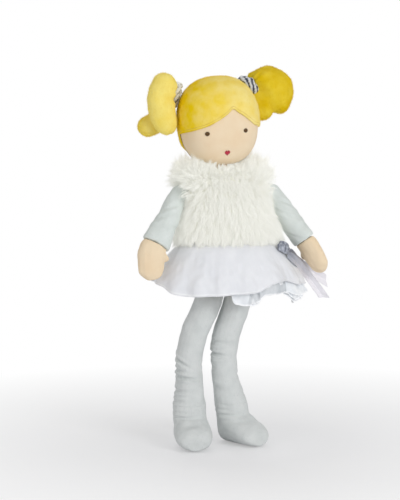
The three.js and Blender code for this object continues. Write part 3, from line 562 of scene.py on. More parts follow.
def strand_shape(rings):
    """One strand of pile from 0 to 1 along Z: three-sided, pointed, and cut into rings to bend."""
    shape = bmesh.new()
    bmesh.ops.create_cone(shape, cap_ends=bool(rings), segments=3, radius1=1, radius2=0, depth=1,
                          matrix=Matrix.Translation((0, 0, 0.5)))
    for height in rings:
        everything = shape.verts[:] + shape.edges[:] + shape.faces[:]
        bmesh.ops.bisect_plane(shape, geom=everything, dist=1e-6, plane_co=(0, 0, height),
                               plane_no=(0, 0, 1))
    bmesh.ops.remove_doubles(shape, verts=shape.verts, dist=1e-5)
    bmesh.ops.recalc_face_normals(shape, faces=shape.faces)
    mesh = bpy.data.meshes.new("strand")
    shape.to_mesh(mesh)
    shape.free()
    return mesh


def strands_from(name, strand, verts, finish):
    """Copies of one strand in one piece; verts holds each copy's points."""
    copies, points = verts.shape[:2]
    corners = read(strand.loops, "vertex_index", 1, int)[:, 0] + np.arange(copies)[:, None] * points
    sizes = np.tile(read(strand.polygons, "loop_total", 1, int)[:, 0], copies)
    made = bpy.data.meshes.new(name)
    made.vertices.add(copies * points)
    made.vertices.foreach_set("co", verts.astype(np.float32).ravel())
    made.loops.add(corners.size)
    made.loops.foreach_set("vertex_index", corners.astype(np.int32).ravel())
    made.polygons.add(len(sizes))
    made.polygons.foreach_set("loop_start", np.concatenate([[0], np.cumsum(sizes)[:-1]]).astype(np.int32))
    made.polygons.foreach_set("loop_total", sizes.astype(np.int32))
    made.update(calc_edges=True)
    made.validate()
    tips = np.tile(places(strand)[:, 2], copies).astype(np.float32)
    made.attributes.new("tip", "FLOAT", "POINT").data.foreach_set("value", tips)
    made.materials.append(finish.material)
    shade(made, False)
    strands = placed(name, made)
    return strands


def sown(mesh, per_mm2, weigh):
    """Roots strewn over a mesh, and how the cloth faces there; weigh(middles, facings) thins them out."""
    mesh.calc_loop_triangles()
    corners = read(mesh.loop_triangles, "vertices", 3, int)
    a, b, c = (places(mesh)[corners[:, number]] for number in range(3))
    cross = np.cross(b - a, c - a)
    area = np.linalg.norm(cross, axis=1) / 2
    face = cross / np.maximum(2 * area, 1e-12)[:, None]
    weight = area * weigh((a + b + c) / 3, face)
    count = int(weight.sum() / MM ** 2 * per_mm2)
    chosen = rng.choice(len(area), count, p=weight / weight.sum())
    from_a = np.sqrt(rng.random(count))[:, None]
    to_c = rng.random(count)[:, None]
    root = (1 - from_a) * a[chosen] + from_a * (1 - to_c) * b[chosen] + from_a * to_c * c[chosen]
    return root, face[chosen]


def drawn_out(strand, root, line, width):
    """The points of a strand at each root: line(t) is its way, width its half thickness."""
    span = line(1.0) - root
    side_way = np.cross(span, rng.normal(size=root.shape))
    side_way /= np.linalg.norm(side_way, axis=1)[:, None]
    other = np.cross(span, side_way)
    other /= np.linalg.norm(other, axis=1)[:, None]
    corners = places(strand)
    full = np.maximum(1 - corners[:, 2], 1e-3) ** -0.6  # a strand stays fuller than a cone
    return np.stack([line(1.06 * t - 0.06) + (side_way * x + other * y) * (width * f)[:, None]
                     for (x, y, t), f in zip(corners, full)], 1)


def napped(piece, middle, finish, body, length_mm):
    """The fuzz of short fibres that stands off velour, on the side that faces away from middle."""
    def weigh(middles, face):
        return np.einsum("ij,ij->i", middles - np.array(middle), face) > 0

    per_mm2 = 2.4
    root, out = sown(piece.data, per_mm2, weigh)
    count = len(root)
    way = out + rng.normal(size=(count, 3)) * 0.38 - np.array([0, 0, 0.3])
    way *= (rng.uniform(0.5, 1.1, count) * length_mm * MM / np.linalg.norm(way, axis=1))[:, None]
    width = rng.uniform(0.05, 0.08, count) * MM
    fibre = strand_shape(())
    verts = drawn_out(fibre, root, lambda t: root + way * t, width)
    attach(strands_from(piece.name + "_nap", fibre, verts, finish), body)


# Head: a full ball in skin cloth, turned and tilted on the neck

HEAD = (Matrix.Translation(at(-3.4, 0, 261.1)) @ Matrix.Rotation(math.radians(-6), 4, "Z")
        @ Matrix.Rotation(math.radians(-5), 4, "Y"))
HEAD_MIDDLE = HEAD.translation.copy()
HEAD_HALF = (31.4, 27.5, 35.3)  # mm, sideways, forwards and upwards
FULL = 2.35  # the power that makes the head fuller than an egg, for which it would be 2


def head_reach(way, grow):
    """How far the head reaches that way in mm, grown all round."""
    total = sum(abs(c / (h + grow)) ** FULL for c, h in zip(way, HEAD_HALF))
    return total ** (-1 / FULL)


def head_point(azimuth, polar, grow):
    """A point in the head's own mm: azimuth from the face to the doll's right, polar down from the crown."""
    way = (-math.sin(polar) * math.sin(azimuth), -math.sin(polar) * math.cos(azimuth), math.cos(polar))
    return Vector(way) * head_reach(way, grow)


def out_of_head(local_mm):
    return HEAD @ (local_mm * MM)


def clear_of_head(where, gap_mm):
    """Points that lie inside the head, moved out to gap_mm above its skin."""
    inward, outward = np.array(HEAD.inverted()), np.array(HEAD)
    local = (where @ inward[:3, :3].T + inward[:3, 3]) / MM
    away = np.linalg.norm(local, axis=1)
    way = local / away[:, None]
    reach = (np.abs(way / (np.array(HEAD_HALF) + gap_mm)) ** FULL).sum(1) ** (-1 / FULL)
    moved = (way * reach[:, None] * MM) @ outward[:3, :3].T + outward[:3, 3]
    return np.where((away < reach)[:, None], moved, where)


# mm behind the middle of the head, where face and back, and front hair and back hair, are sewn together
SIDE_SEAM = 3.2
CHIN = -30  # mm from the middle of the head, below which it draws in to the neck

ball = bmesh.new()
bmesh.ops.create_icosphere(ball, subdivisions=7, radius=1)
for vert in ball.verts:
    way = vert.co.normalized()
    local = way * head_reach(way, 0)
    # the cheeks are a little fuller, the side seam draws in, and the chin draws in to the neck
    local += way * 0.25 * math.sin(5 * way.x + 2) * math.sin(4 * way.z)
    local -= way * 0.5 * math.exp(-((local.y - SIDE_SEAM) / 0.55) ** 2)
    if local.z < CHIN:
        local.z += 0.45 * (CHIN - local.z) * max(0, 1 - math.hypot(local.x, local.y) / 12)
    vert.co = out_of_head(local)
head = piece_from("head_skin", ball, SKIN)
worn(head, "head", ["head"])

# Hair cap: two velour panels that meet over the crown; the front one ends at the sewn hairline

# degrees from the face to the doll's right, and how high over the head's middle the hairline runs in mm
HAIRLINE = [(-100, -7.5), (-52, -4.2), (-40.7, -0.7), (-29.9, 3.5), (-21.7, 6.3), (-13, 9.2), (-3, 5.8),
            (15.5, 0.8), (32.5, -2.6), (58, -5.2), (72, -5.9), (100, -7)]


def through(rows, place):
    """Smooth curve through rows of (place, value, ...)."""
    last = len(rows) - 1
    place = min(max(place, rows[0][0]), rows[last][0])
    i = 0
    while i < last - 1 and place > rows[i + 1][0]:
        i += 1
    span = rows[i + 1][0] - rows[i][0]
    t = (place - rows[i][0]) / span

    def slope(j, k):
        a, b = rows[max(j - 1, 0)], rows[min(j + 1, last)]
        return (b[k] - a[k]) / (b[0] - a[0]) * span

    found = []
    for k in range(1, len(rows[0])):
        p, q = rows[i][k], rows[i + 1][k]
        a, b = slope(i, k), slope(i + 1, k)
        found.append(p * (2 * t ** 3 - 3 * t * t + 1) + a * (t ** 3 - 2 * t * t + t)
                     + q * (3 * t * t - 2 * t ** 3) + b * (t ** 3 - t * t))
    return found


def hairline_polar(azimuth):
    """How far down from the crown the hairline runs, found by closing in on its height."""
    height = through(HAIRLINE, half_turn(math.degrees(azimuth)))[0]
    polar = math.pi / 2
    for _ in range(8):
        point = head_point(azimuth, polar, 0)
        polar = math.atan2(math.hypot(point.x, point.y), height)
    return polar


CAP = 1.65  # mm, outside of the velour above the skin
SEAM_GAP = 0.17  # mm that each panel stays back from the seam
TOPSTITCH = 2.1  # mm from the hairline to the row of stitches along it


def hair_panel(name, node, rim, front, around, down):
    """Outer face first: it rolls in towards its edges, then gets its thickness inwards."""
    rims = {}

    def place(u, v):
        azimuth = u * math.tau
        edge = rims.setdefault(round(u, 5), rim(azimuth))
        point = head_point(azimuth, edge * max(v, 1e-4), CAP)
        to_rim = edge * (1 - v) * point.length
        to_seam = SIDE_SEAM - SEAM_GAP - point.y if front else point.y - SIDE_SEAM - SEAM_GAP
        near = min(to_rim, max(to_seam, 0))
        rolled = 1.1 * (1 - math.sqrt(max(0, 1 - max(0, 1 - near / 1.7) ** 2)))
        groove = 0.22 * math.exp(-((to_rim - TOPSTITCH) / 0.45) ** 2) if front else 0
        groove += 0.3 * math.exp(-((to_seam - 0.2) / 0.9) ** 2)
        soft = 0.1 * math.sin(0.9 * point.x + 2 * math.sin(0.35 * point.z))
        soft *= math.sin(0.5 * point.z + 0.3 * point.x)
        return out_of_head(point - point.normalized() * (rolled + groove - soft))

    piece = wrapped(name, around, down, place, HAIR, closed=True)
    shape = bmesh.new()
    shape.from_mesh(piece.data)
    at_seam = out_of_head(Vector((0, SIDE_SEAM + (-SEAM_GAP if front else SEAM_GAP), 0)))
    backwards = (HEAD.to_3x3() @ Vector((0, 1, 0))).normalized()
    everything = shape.verts[:] + shape.edges[:] + shape.faces[:]
    bmesh.ops.bisect_plane(shape, geom=everything, dist=1e-7, plane_co=at_seam, plane_no=backwards,
                           clear_outer=front, clear_inner=not front)
    bmesh.ops.recalc_face_normals(shape, faces=shape.faces)
    shape.to_mesh(piece.data)
    shape.free()
    crown = max(piece.data.polygons, key=lambda f: f.center.z)
    if (crown.center - HEAD_MIDDLE).dot(crown.normal) < 0:
        piece.data.flip_normals()
    wall = piece.modifiers.new("velour", "SOLIDIFY")
    wall.thickness = 1.05 * MM
    wall.offset = -1
    settle(piece)
    shade(piece.data, True)
    worn(piece, "head", [node])
    napped(piece, HEAD_MIDDLE, HAIR, "head", 1.0)


def nape_polar(azimuth):
    """Low at the nape, rising to the hairline's ends at the side seams."""
    degrees = abs(half_turn(math.degrees(azimuth)))
    rise = min(max((150 - degrees) / 58, 0), 1)
    return math.radians(138 - 22 * rise * rise * (3 - 2 * rise))


hair_panel("hair_front_panel", "hair_front", hairline_polar, True, 288, 70)
hair_panel("hair_back_panel", "hair_back", nape_polar, False, 200, 70)


def add_stitch(shape, start, end, radius_mm, rise):
    """One pulled thread: a slim bead from start to end, standing up towards rise."""
    run = end - start
    side = run.cross(rise).normalized()
    up = side.cross(run).normalized()
    turn = Matrix((run.normalized(), side, up)).transposed().to_4x4()
    radius = radius_mm * MM
    size = Matrix.Diagonal((run.length / 2 + radius, radius, radius, 1))
    bmesh.ops.create_uvsphere(shape, u_segments=8, v_segments=6, radius=1,
                              matrix=Matrix.Translation((start + end) / 2) @ turn @ size)


def sewn(name, finish, radius_mm, stitches):
    """A row of stitches on the head; stitches has the two ends of each."""
    shape = bmesh.new()
    for start, end in stitches:
        add_stitch(shape, start, end, radius_mm, (start - HEAD_MIDDLE).normalized())
    worn(piece_from(name, shape, finish), "head")


TOP_STITCHES = 74
SEAM_STITCHES = 30


def by_hairline(step):
    """Where the topstitching is after that many stitches."""
    azimuth = math.radians(-88 + 176 * step / TOP_STITCHES)
    return out_of_head(head_point(azimuth, hairline_polar(azimuth) - TOPSTITCH / 32, CAP - 0.12))


def by_side_seam(side, step):
    """Where the seam of the cheek is after that many stitches."""
    polar = math.radians(96 + 60 * step / SEAM_STITCHES)
    way = Vector((side * math.sin(polar), 0, math.cos(polar)))
    point = way * head_reach(way, 0)
    return out_of_head(Vector((point.x * 1.002, SIDE_SEAM - 0.7, point.z * 1.002)))


sewn("hairline_topstitch", GOLD_THREAD, 0.2,
     [(by_hairline(step), by_hairline(step + 0.62)) for step in range(TOP_STITCHES)])
# a real seam, in dark thread that also paints the shade along the face's lower edge
sewn("face_side_seam_and_painted_shade", SEAM_THREAD, 0.3,
     [(by_side_seam(side, step), by_side_seam(side, step + 0.6))
      for side in (-1, 1) for step in range(SEAM_STITCHES)])

# Face: satin stitch, in rows of thread clipped to a round or a heart


def face_place(x, z, lift):
    """A point lift mm over the face, and which way the face looks there."""
    share = abs(x / HEAD_HALF[0]) ** FULL + abs(z / HEAD_HALF[2]) ** FULL
    point = Vector((x, -HEAD_HALF[1] * (1 - share) ** (1 / FULL), z))
    slope = Vector([math.copysign(abs(c) ** (FULL - 1), c) / h ** FULL for c, h in zip(point, HEAD_HALF)])
    slope.normalize()
    return out_of_head(point + slope * lift), HEAD.to_3x3() @ slope


def embroidered(name, node, finish, x, z, rows, spacing, reach):
    """rows of vertical threads; reach(t) gives the lowest and highest end of the thread at t mm across."""
    shape = bmesh.new()
    for row in range(rows):
        across = (row - (rows - 1) / 2) * spacing
        low, high = reach(across)
        if high - low < 0.2:
            continue
        bulge = 0.55 + 0.3 * math.cos(across / (rows * spacing) * math.pi)
        start, facing = face_place(x + across, z + low, bulge * 0.5)
        end, _ = face_place(x + across, z + high, bulge * 0.5)
        add_stitch(shape, start, end, 0.27, facing)
    fill = bmesh.ops.create_icosphere(shape, subdivisions=3, radius=1)["verts"]
    centre, facing = face_place(x, z, 0.3)
    turn = facing.to_track_quat("Z", "Y").to_matrix().to_4x4()
    low, high = reach(0)
    size = Matrix.Diagonal((rows * spacing * 0.46 * MM, (high - low) * 0.46 * MM, 0.42 * MM, 1))
    bmesh.ops.transform(shape, verts=fill, matrix=Matrix.Translation(centre) @ turn @ size)
    worn(piece_from(name, shape, finish), "head", [node])


def round_reach(across):
    half = math.sqrt(max(0, 1.7 ** 2 - across ** 2))
    return -half, half


def heart_reach(across):
    half = 2.1
    side = min(abs(across) / half, 1)
    top = half * (0.5 + 0.55 * math.sin(math.pi * min(side / 0.92, 1)) - 0.1 * side)
    return -half * (1 - side ** 1.15), top if side < 0.98 else 0


for side, word in ((-1, "right"), (1, "left")):
    embroidered(f"eye_{word}_stitches", f"eye_{word}", EYE_THREAD,
                side * 15.5, -7.9, 9, 0.38, round_reach)
embroidered("mouth_stitches", "mouth", MOUTH_THREAD, 0, -24.2, 9, 0.47, heart_reach)

# Bunches of hair and their gathered silver ties

def bunch(side, word, rise, soften, filled):
    """One bunch and its tie; filled is how far the stuffing rounds it out between its lobes."""
    pivot = JOINT[f"pigtail_{word}_lift"]
    axis = Vector((side * math.cos(math.radians(rise)), 0.26, math.sin(math.radians(rise)))).normalized()
    first = Vector((0, 1, 0)) - axis * axis.y
    first.normalize()
    second = axis.cross(first)

    def gathers(where):
        rel = where - np.array(pivot)
        along = rel @ np.array(axis) / MM
        turn = np.arctan2(rel @ np.array(second), rel @ np.array(first))
        pleats = np.sin(11 * turn + 2.0 * np.sin(2 * turn)) + 0.5 * np.sin(19 * turn + 1)
        folds = np.sin(4 * turn + 0.7 + side) ** 3 * np.exp(-np.clip(along - 6, 0, None) / 12)
        near = np.exp(-np.clip(along - 4, 0, None) / 6)
        return (0.42 * pleats * near + 0.6 * folds) * (along > -1) + 0.35 * swell(where, 15, 5 + side)

    def filled_out(where):
        """Moves the lobes out towards the form that is pulled tight over them all."""
        tight = bmesh.new()
        for point in where[::7]:
            tight.verts.new(point)
        bmesh.ops.convex_hull(tight, input=tight.verts)
        skin = BVHTree.FromBMesh(tight)
        tight.free()
        middle = Vector(where.mean(0))
        own_axes = np.array((axis, first, second))
        half = np.abs((where - np.array(middle)) @ own_axes.T).max(0)
        moved = where.copy()
        for i, point in enumerate(where):
            way = Vector(point) - middle
            hit = skin.ray_cast(middle, way)[0]
            if hit is None or way.length < 1 * MM:
                continue
            along = (Vector(point) - pivot).dot(axis) / MM
            share = filled * min(max((along - 3) / 7, 0), 1)
            oval = 1 / np.linalg.norm(own_axes @ np.array(way.normalized()) / half)
            full = max((hit - middle).length, oval)
            if full > way.length:
                moved[i] = Vector(point).lerp(middle + way.normalized() * full, share)
        return clear_of_head(moved, CAP + 0.8)

    lobes = stuffed(f"bunch_{word}", f"pigtail_{word}", BUNCH[word], f"pigtail_{word}", 0.8,
                    soften, gathers, filled_out)
    napped(lobes, pivot - axis * 20 * MM, BUNCH[word], f"pigtail_{word}", 1.3)

    pleats = np.random.default_rng(20 + side).uniform(-1, 1, 64)
    into_head = HEAD.inverted()

    def scrunch(u, v):
        turn = u * math.tau
        round_it = v * math.tau
        wave = math.sin(5 * round_it + 8 * turn) + 0.5 * math.cos(9 * turn + 0.9 * math.sin(3 * turn))
        ruffle = 1 + 0.1 * wave + 0.05 * np.interp(u * 63, np.arange(64), pleats)
        radial = 8 + 2.7 * ruffle * math.cos(round_it)
        sideways = 3.7 * ruffle * math.sin(round_it) + 0.35 * math.sin(5 * turn + 1)
        point = pivot + (first * math.cos(turn) + second * math.sin(turn)) * radial * MM
        point += axis * sideways * MM
        local = (into_head @ point) / MM
        outside = head_reach(local.normalized(), CAP + 0.35)
        if local.length < outside:
            point = out_of_head(local.normalized() * outside)
        return point

    tie = wrapped(f"tie_{word}", 240, 44, scrunch, SILVER[word], closed=True)
    strip = np.sin(math.tau * (5 * kept(tie, "along") + 8 * kept(tie, "across")))
    tie.data.attributes.new("strip", "FLOAT", "POINT").data.foreach_set("value", strip)
    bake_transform(tie)
    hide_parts(f"hair_tie_{word}")


bunch(-1, "right", 14, 26, 0.15)
bunch(1, "left", 38, 60, 0.85)

# Body, neck, arms and legs

stuffed("torso_skin", "torso", SKIN, "torso", 1.3, 10)
stuffed("neck_skin", "neck", SKIN, "neck", 0.8, 8)

# creases of each limb, as creases() takes them
SLEEVE_FOLDS = {
    "right": [(196, 0, 60, 0.8, 2.0, 3), (186, -60, 50, 0.5, 1.6, 4), (177, 70, 40, 0.6, 1.6, -3),
              (168, -30, 60, 0.35, 1.3, 2)],
    "left": [(197, 20, 60, 0.8, 2.0, -4), (188, -40, 50, 0.6, 1.7, -4), (178, 30, 45, 0.5, 1.6, 4),
             (169, -60, 60, 0.35, 1.3, -2)],
}
LEG_FOLDS = {
    "right": [(70, -70, 48, 2.1, 1.3, -5.5), (62, -90, 40, 1.6, 1.3, -1), (56.5, -50, 55, 1.9, 1.15, -1.5),
              (45.5, -75, 42, 1.5, 1.3, 0), (41, -60, 40, 0.6, 1.0, 0.5), (37, -80, 42, 0.9, 1.2, 0),
              (31.5, -60, 45, 0.9, 1.1, 0), (66, 80, 35, 0.4, 1.3, -1), (98, -30, 40, 0.35, 2.6, 3),
              (112, 30, 50, 0.4, 2.6, -4)],
    "left": [(83, -40, 60, 1.0, 1.7, -1), (74, -68, 52, 2.1, 1.25, -1), (70.5, -35, 40, 0.7, 1.0, 0),
             (63.5, -85, 40, 0.8, 2.2, 1), (45.5, -62, 36, 0.9, 2.8, 0), (40, 30, 60, 0.5, 1.8, 1),
             (57, 80, 40, 0.5, 1.3, 1.5), (104, -30, 45, 0.4, 2.6, 3)],
}


def limb(folds, swell_mm, seed, seam_side, radius_mm):
    """How a stuffed limb is shaped: its creases, a soft unevenness and its seam."""
    def shaping(where):
        round_it = spine(where)
        uneven = creases(where, round_it, folds) + 0.4 * swell(where, swell_mm, seed)
        return uneven + seam(where, round_it, seam_side, radius_mm)
    return shaping


def met(node, upper):
    """Legs and feet are sewn edge to edge, so each rim is drawn on to the other's."""
    low, high = (corner[2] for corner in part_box(node))

    def drawn(where):
        near = ramp(where[:, 2], low + 3 * MM, low) if upper else ramp(where[:, 2], high - 3 * MM, high)
        moved = where.copy()
        moved[:, 2] += near * (-1.1 if upper else 0.9) * MM
        return moved
    return drawn


def foot_shape(where):
    """Soft dents over the instep; the sole stays flat."""
    height = where[:, 2] / MM
    lift = np.clip((height - 1.5) / 5, 0, 1)
    round_it = spine(where, 3)
    folds = [(24, -50, 45, 0.9, 1.1, 0), (28.5, -70, 40, 0.5, 1.0, 0), (19.5, -20, 50, 0.5, 1.3, 1)]
    return lift * (0.35 * swell(where, 14, 51) + creases(where, round_it, folds))


for word, seed, seam_side in (("right", 31, 110), ("left", 32, -110)):
    stuffed(f"sleeve_{word}_velour", f"sleeve_{word}", SLEEVE, f"arm_{word}", 0.8, 16,
            limb(SLEEVE_FOLDS[word], 16, seed, seam_side, 10))
for word in ("right", "left"):
    stuffed(f"hand_{word}_skin", f"hand_{word}", SKIN, f"arm_{word}", 0.65, 12,
            lambda where: 0.25 * swell(where, 9, 61))
for word, seed, seam_side in (("right", 41, 128), ("left", 42, -150)):
    stuffed(f"leg_{word}_velour", f"leg_{word}", LEG, f"leg_{word}", 0.6, 22,
            limb(LEG_FOLDS[word], 15, seed, seam_side, 12), met(f"leg_{word}", True))
for word in ("right", "left"):
    stuffed(f"foot_{word}_velour", f"foot_{word}", LEG, f"leg_{word}", 0.6, 22,
            foot_shape, met(f"foot_{word}", False))

# Fur vest: the backing, then locks of long pile set into it

vest = stuffed("vest_backing", "fur_vest", PILE_BASE, "torso", 1.1, 10)
PER_PIECE = 11500  # strands: a few more would bring a piece to 200,000 triangles
PER_LOCK = 22


def fur(base, per_mm2):
    """Strands that lean together in locks, combed down on the body, looser at shoulders and collar."""
    centre = np.array(at(2.5, 0, 0))

    def weigh(middle, face):
        """None on the inside and under the arms, more round the collar."""
        radial = middle - centre
        radial[:, 2] = 0
        radial /= np.linalg.norm(radial, axis=1)[:, None]
        outer = (np.einsum("ij,ij->i", face, radial) > 0.15) | (face[:, 2] > 0.35)
        for word in ("right", "left"):
            away = middle - np.array(JOINT[f"shoulder_{word}"])
            beside = np.linalg.norm(away[:, 1:], axis=1) < 8 * MM
            outer &= ~(beside & (np.abs(away[:, 0]) < 12 * MM))
        return outer * (1 + 1.2 * ramp(middle[:, 2] / MM, 209, 215))

    root, out = sown(base.data, per_mm2, weigh)
    count = len(root)
    guides = rng.choice(count, count // PER_LOCK, replace=False)
    tree = kdtree.KDTree(len(guides))
    for i, g in enumerate(guides):
        tree.insert(root[g], i)
    tree.balance()
    lock = np.array([guides[tree.find(p)[1]] for p in root])

    # where each root is, in mm, and how much of each part of the vest that makes it
    z = root[:, 2] / MM
    across = (root[:, 0] - MIDDLE) / MM - 2
    shoulder = ramp(z, 195, 208) * ramp(np.abs(across), 17, 29)
    collar = ramp(z, 213, 222) ** 1.5 * (1 - shoulder)
    hem = ramp(-z, -178, -169)
    own_right = shoulder * (across < 0)
    by_cheek = ramp(z, 207, 218) * ramp(across, 12, 19) * ramp(-across, -36, -30)
    chin = ramp(z, 210, 217) * ramp(-root[:, 1] / MM, 6, 12) * ramp(-np.abs(across), -18, -10)
    flank = ramp(-out[:, 0], 0.3, 0.8) * ramp(z, 172, 180) * ramp(-z, -200, -194)
    # how long each strand is in mm, and how far it stands up, spreads sideways, stands out and strays
    length = (8.6 + 2.2 * shoulder + 3.2 * own_right + 1.6 * collar - 2.2 * hem + 4.2 * by_cheek
              + 2.4 * flank - 2.8 * chin)
    length *= rng.uniform(0.72, 1.1, count) * np.where(rng.random(count) < 0.05, 1.25, 1.0)
    up = np.array([0, 0, 1.0])
    sideways = np.array([1.0, 0, 0])
    rise = (-0.8 + 0.45 * ramp(z, 196, 214) + 1.0 * shoulder + 1.2 * collar + 1.3 * by_cheek
            + 0.25 * own_right + 0.2 * flank - 0.5 * chin)
    spread = 0.75 * (shoulder - 0.8 * by_cheek) * np.sign(across)
    reach = 0.66 + 0.2 * np.abs(out[:, 0]) - 0.26 * shoulder - 0.16 * collar - 0.22 * hem
    loose = 0.16 + 0.22 * shoulder + 0.06 * collar
    tilt = rng.normal(size=(count, 3))
    way = out * reach[:, None] + up * rise[:, None] + sideways * spread[:, None]
    way += loose[:, None] * tilt[lock] + 0.16 * tilt
    way /= np.linalg.norm(way, axis=1)[:, None]
    sink = -0.3 * (1 - 0.7 * shoulder - 0.8 * collar - 0.2 * by_cheek)
    bend = up * sink[:, None] + 0.14 * tilt[lock][:, [1, 2, 0]] + 0.06 * tilt[:, [2, 0, 1]]

    def line(t):
        own = root + (way * t + bend * t * t) * (length * MM)[:, None]
        lead = root[lock] + (way[lock] * t + bend[lock] * t * t) * (length * MM)[:, None]
        pull = ((0.3 + 0.36 * shoulder + 0.1 * collar) * t * t)[:, None]
        return clear_of_head(own * (1 - pull) + lead * pull, 0.7)

    width = rng.uniform(0.09, 0.15, count) * MM * 1.0
    strand = strand_shape((0.38, 0.72))
    verts = drawn_out(strand, root, line, width)
    by_head = (line(1.0)[:, 2] > 218 * MM) & (np.abs(across) < 28)
    for label, group in (("fur", ~by_head), ("fur_collar", by_head)):
        order = np.flatnonzero(group)
        order = order[np.argsort(np.arctan2(root[order, 1], root[order, 0] - centre[0]))]
        for number, start in enumerate(range(0, len(order), PER_PIECE)):
            chosen = verts[order[start:start + PER_PIECE]]
            strands = strands_from(f"{label}_{number}", strand, chosen, FUR)
            if label == "fur":
                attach(strands, "torso")
            else:  # the pile that lies against the head
                at(-3, 0, 214)
                at(-3, 0, 227)
                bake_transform(strands)


fur(vest, 4.1)

# Skirt: lining, organza overskirt, the ragged veils under it, and the waistband

# mm: half the lining's width and depth at the waist and at the hem, the height of the waist, and the way down
WAIST = (31.0, 19.9)
HEM = (62.0, 41.0)
TOP = 165.9
DOWN = 42
# share of the way down, and how much of the way out its width and its depth have come there
FLARE = [(0, 0, 0), (0.12, 0.3, 0.34), (0.3, 0.52, 0.56), (0.55, 0.76, 0.78), (0.8, 0.93, 0.94), (1, 1, 1)]


def skirt_point(angle, share, out, drop=0.0, folds=1.0):
    """angle from the doll's left in radians, share of the way down, mm outside the lining."""
    wide, deep = through(FLARE, share)
    wave = math.cos(17 * angle + 0.8 * math.sin(3 * angle))
    slow = math.sin(5 * angle + 1.3) + 0.7 * math.sin(9 * angle + 0.4)
    fold = folds * (1.15 * (0.08 + 0.92 * share ** 1.5) * wave + 0.8 * share * slow)
    side = math.cos(angle)
    z = TOP - share * (DOWN - (6 * side * side - 3 * side) * share) - drop * share ** 3
    reach_x = WAIST[0] + (HEM[0] - WAIST[0]) * wide + out + fold
    reach_y = WAIST[1] + (HEM[1] - WAIST[1]) * deep + out + fold
    return at(5 + 0.1 * share + reach_x * side, reach_y * math.sin(angle), z)


LIFT = 0.3  # how far the hem would go along with a leg that is raised under it

# Sectors of the skirt in degrees from the doll's left: over each thigh it would be lifted, falling off to
# both sides. Each has its two ends, the leg, and where it is fully lifted and where it stays still.
SECTORS = [
    (-129, -111.7, "right", -111.7, -129),
    (-111.7, -95.5, "right", None, None),
    (-95.5, -90, "right", -95.5, -90),
    (-90, -84.5, "left", -84.5, -90),
    (-84.5, -69, "left", None, None),
    (-69, -52, "left", -69, -52),
    (-52, 90, None, None, None),
    (90, 231, None, None, None),
]
NARROW = 9.9  # degrees: a narrower sector is paired with its wider neighbour
ALL_ROUND = (-129, 231)


def hang(piece, layer, leg, lifted, still):
    """No thigh under it: hangs from the waist. Over one: works out a rise, full at lifted, none at still."""
    if leg is None:
        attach(piece, "torso")
        return
    rate = Vector((0, 0, -LIFT / (DOWN * MM)))
    start = at(5, 0, TOP)
    if lifted is not None:
        top, middle, low = (layer(math.radians(lifted), share) for share in (0, 0.5, 1))
        sideways = (middle - top).cross(low - top).normalized()
        held = layer(math.radians(still), 1)
        rate -= sideways * (LIFT * (TOP * MM - held.z) / (DOWN * MM)) / (held - low).dot(sideways)
        start = low.lerp(top, (TOP * MM - low.z) / (top.z - low.z))
    start + rate / rate.length_squared
    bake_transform(piece)


def sectors_within(first, last):
    """The sectors that a layer from first to last degrees takes part in, each cut to that span."""
    for number, (low, high, *way) in enumerate(SECTORS):
        low = max(low, first)
        high = min(high, last)
        if high - low >= 0.5:
            yield number, low, high, way


def run_length(points):
    return sum((b - a).length for a, b in zip(points, points[1:]))


def skirt_layer(name, layer, finish, per_degree, down, node, thick, span=ALL_ROUND,
                crumple=None):
    """One layer of the skirt in its sectors; layer(angle, share) gives its points."""
    pieces = []
    for number, low, high, way in sectors_within(*span):
        def place(u, v):
            return layer(math.radians(low + (high - low) * u), v)

        piece = wrapped(f"{name}_{number}", max(5, round((high - low) * per_degree)), down, place, finish)
        if crumple:
            crumple(piece)
        cloth(piece, thick)
        hang(piece, layer, *way)
        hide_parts(node)
        pieces.append((piece, low, high))
    narrow = {number: piece for number, (piece, low, high) in enumerate(pieces) if high - low < NARROW}
    for number, (piece, low, high) in enumerate(pieces):
        if high - low < NARROW:
            continue
        wide = run_length([layer(math.radians(low + (high - low) * i / 60), 1.0) for i in range(61)])
        long = run_length([layer(math.radians((low + high) / 2), i / 20) for i in range(21)])
        beside = [other for other in narrow if abs(other - number) == 1]
        [narrow.pop(other) for other in beside]


# how far each hem hangs below the plain one in mm, by the angle from the doll's left in degrees
TOP_HEM = [(-180, -3.1), (-170, -1.3), (-160, 0), (-150, 2.7), (-140, 4), (-130, 3.2), (-120, 1.6),
           (-110, 0), (-100, -1.7), (-90, -2.8), (-80, -4.7), (-70, -10), (-60, -11.5), (-50, -9.6),
           (-40, -6), (-30, -5), (-20, -4), (0, -4), (30, -3), (60, -2), (120, -2), (150, -2.5),
           (180, -3.1)]
VEIL_HEM = [(-106, 0), (-101, 1), (-98.5, 9), (-94, 10.6), (-88, 11.6), (-82, 10), (-78, 8.5), (-75, 2.5),
            (-68, 1.4), (-60, 1.5), (-52, 2.3), (-47, 6), (-41, 11.5), (-33, 14), (-24, 13.6), (-12, 12),
            (0, 9), (15, 5), (35, 2.5), (63, 0)]


def hem_drop(rows, angle):
    return through(rows, half_turn(math.degrees(angle)))[0]


def front_sag(angle):
    """On the doll's right of the front the lining hangs lower."""
    return 3.4 * max(0, math.cos(angle + 2.42)) ** 8


def caught_up(angle):
    """Over the ruffle the skirt is caught up."""
    return max(0, math.cos(angle + 0.98)) ** 5


def top_layer(angle, share):
    return skirt_point(angle, share, 3.1, hem_drop(TOP_HEM, angle))


def lining_layer(angle, share):
    return skirt_point(angle, 0.95 * share, 0.75, front_sag(angle) - 7.0 * caught_up(angle))


def gathered(skirt):
    """The organza is rumpled between its waist and its hem."""
    where = places(skirt.data)
    along = kept(skirt, "along")
    rumple = 0.5 * swell(where, 9, 81) + 0.4 * swell(where * (1, 1, 0.35), 6, 82)
    pushed(skirt, along * (1 - along ** 8) * rumple * MM)


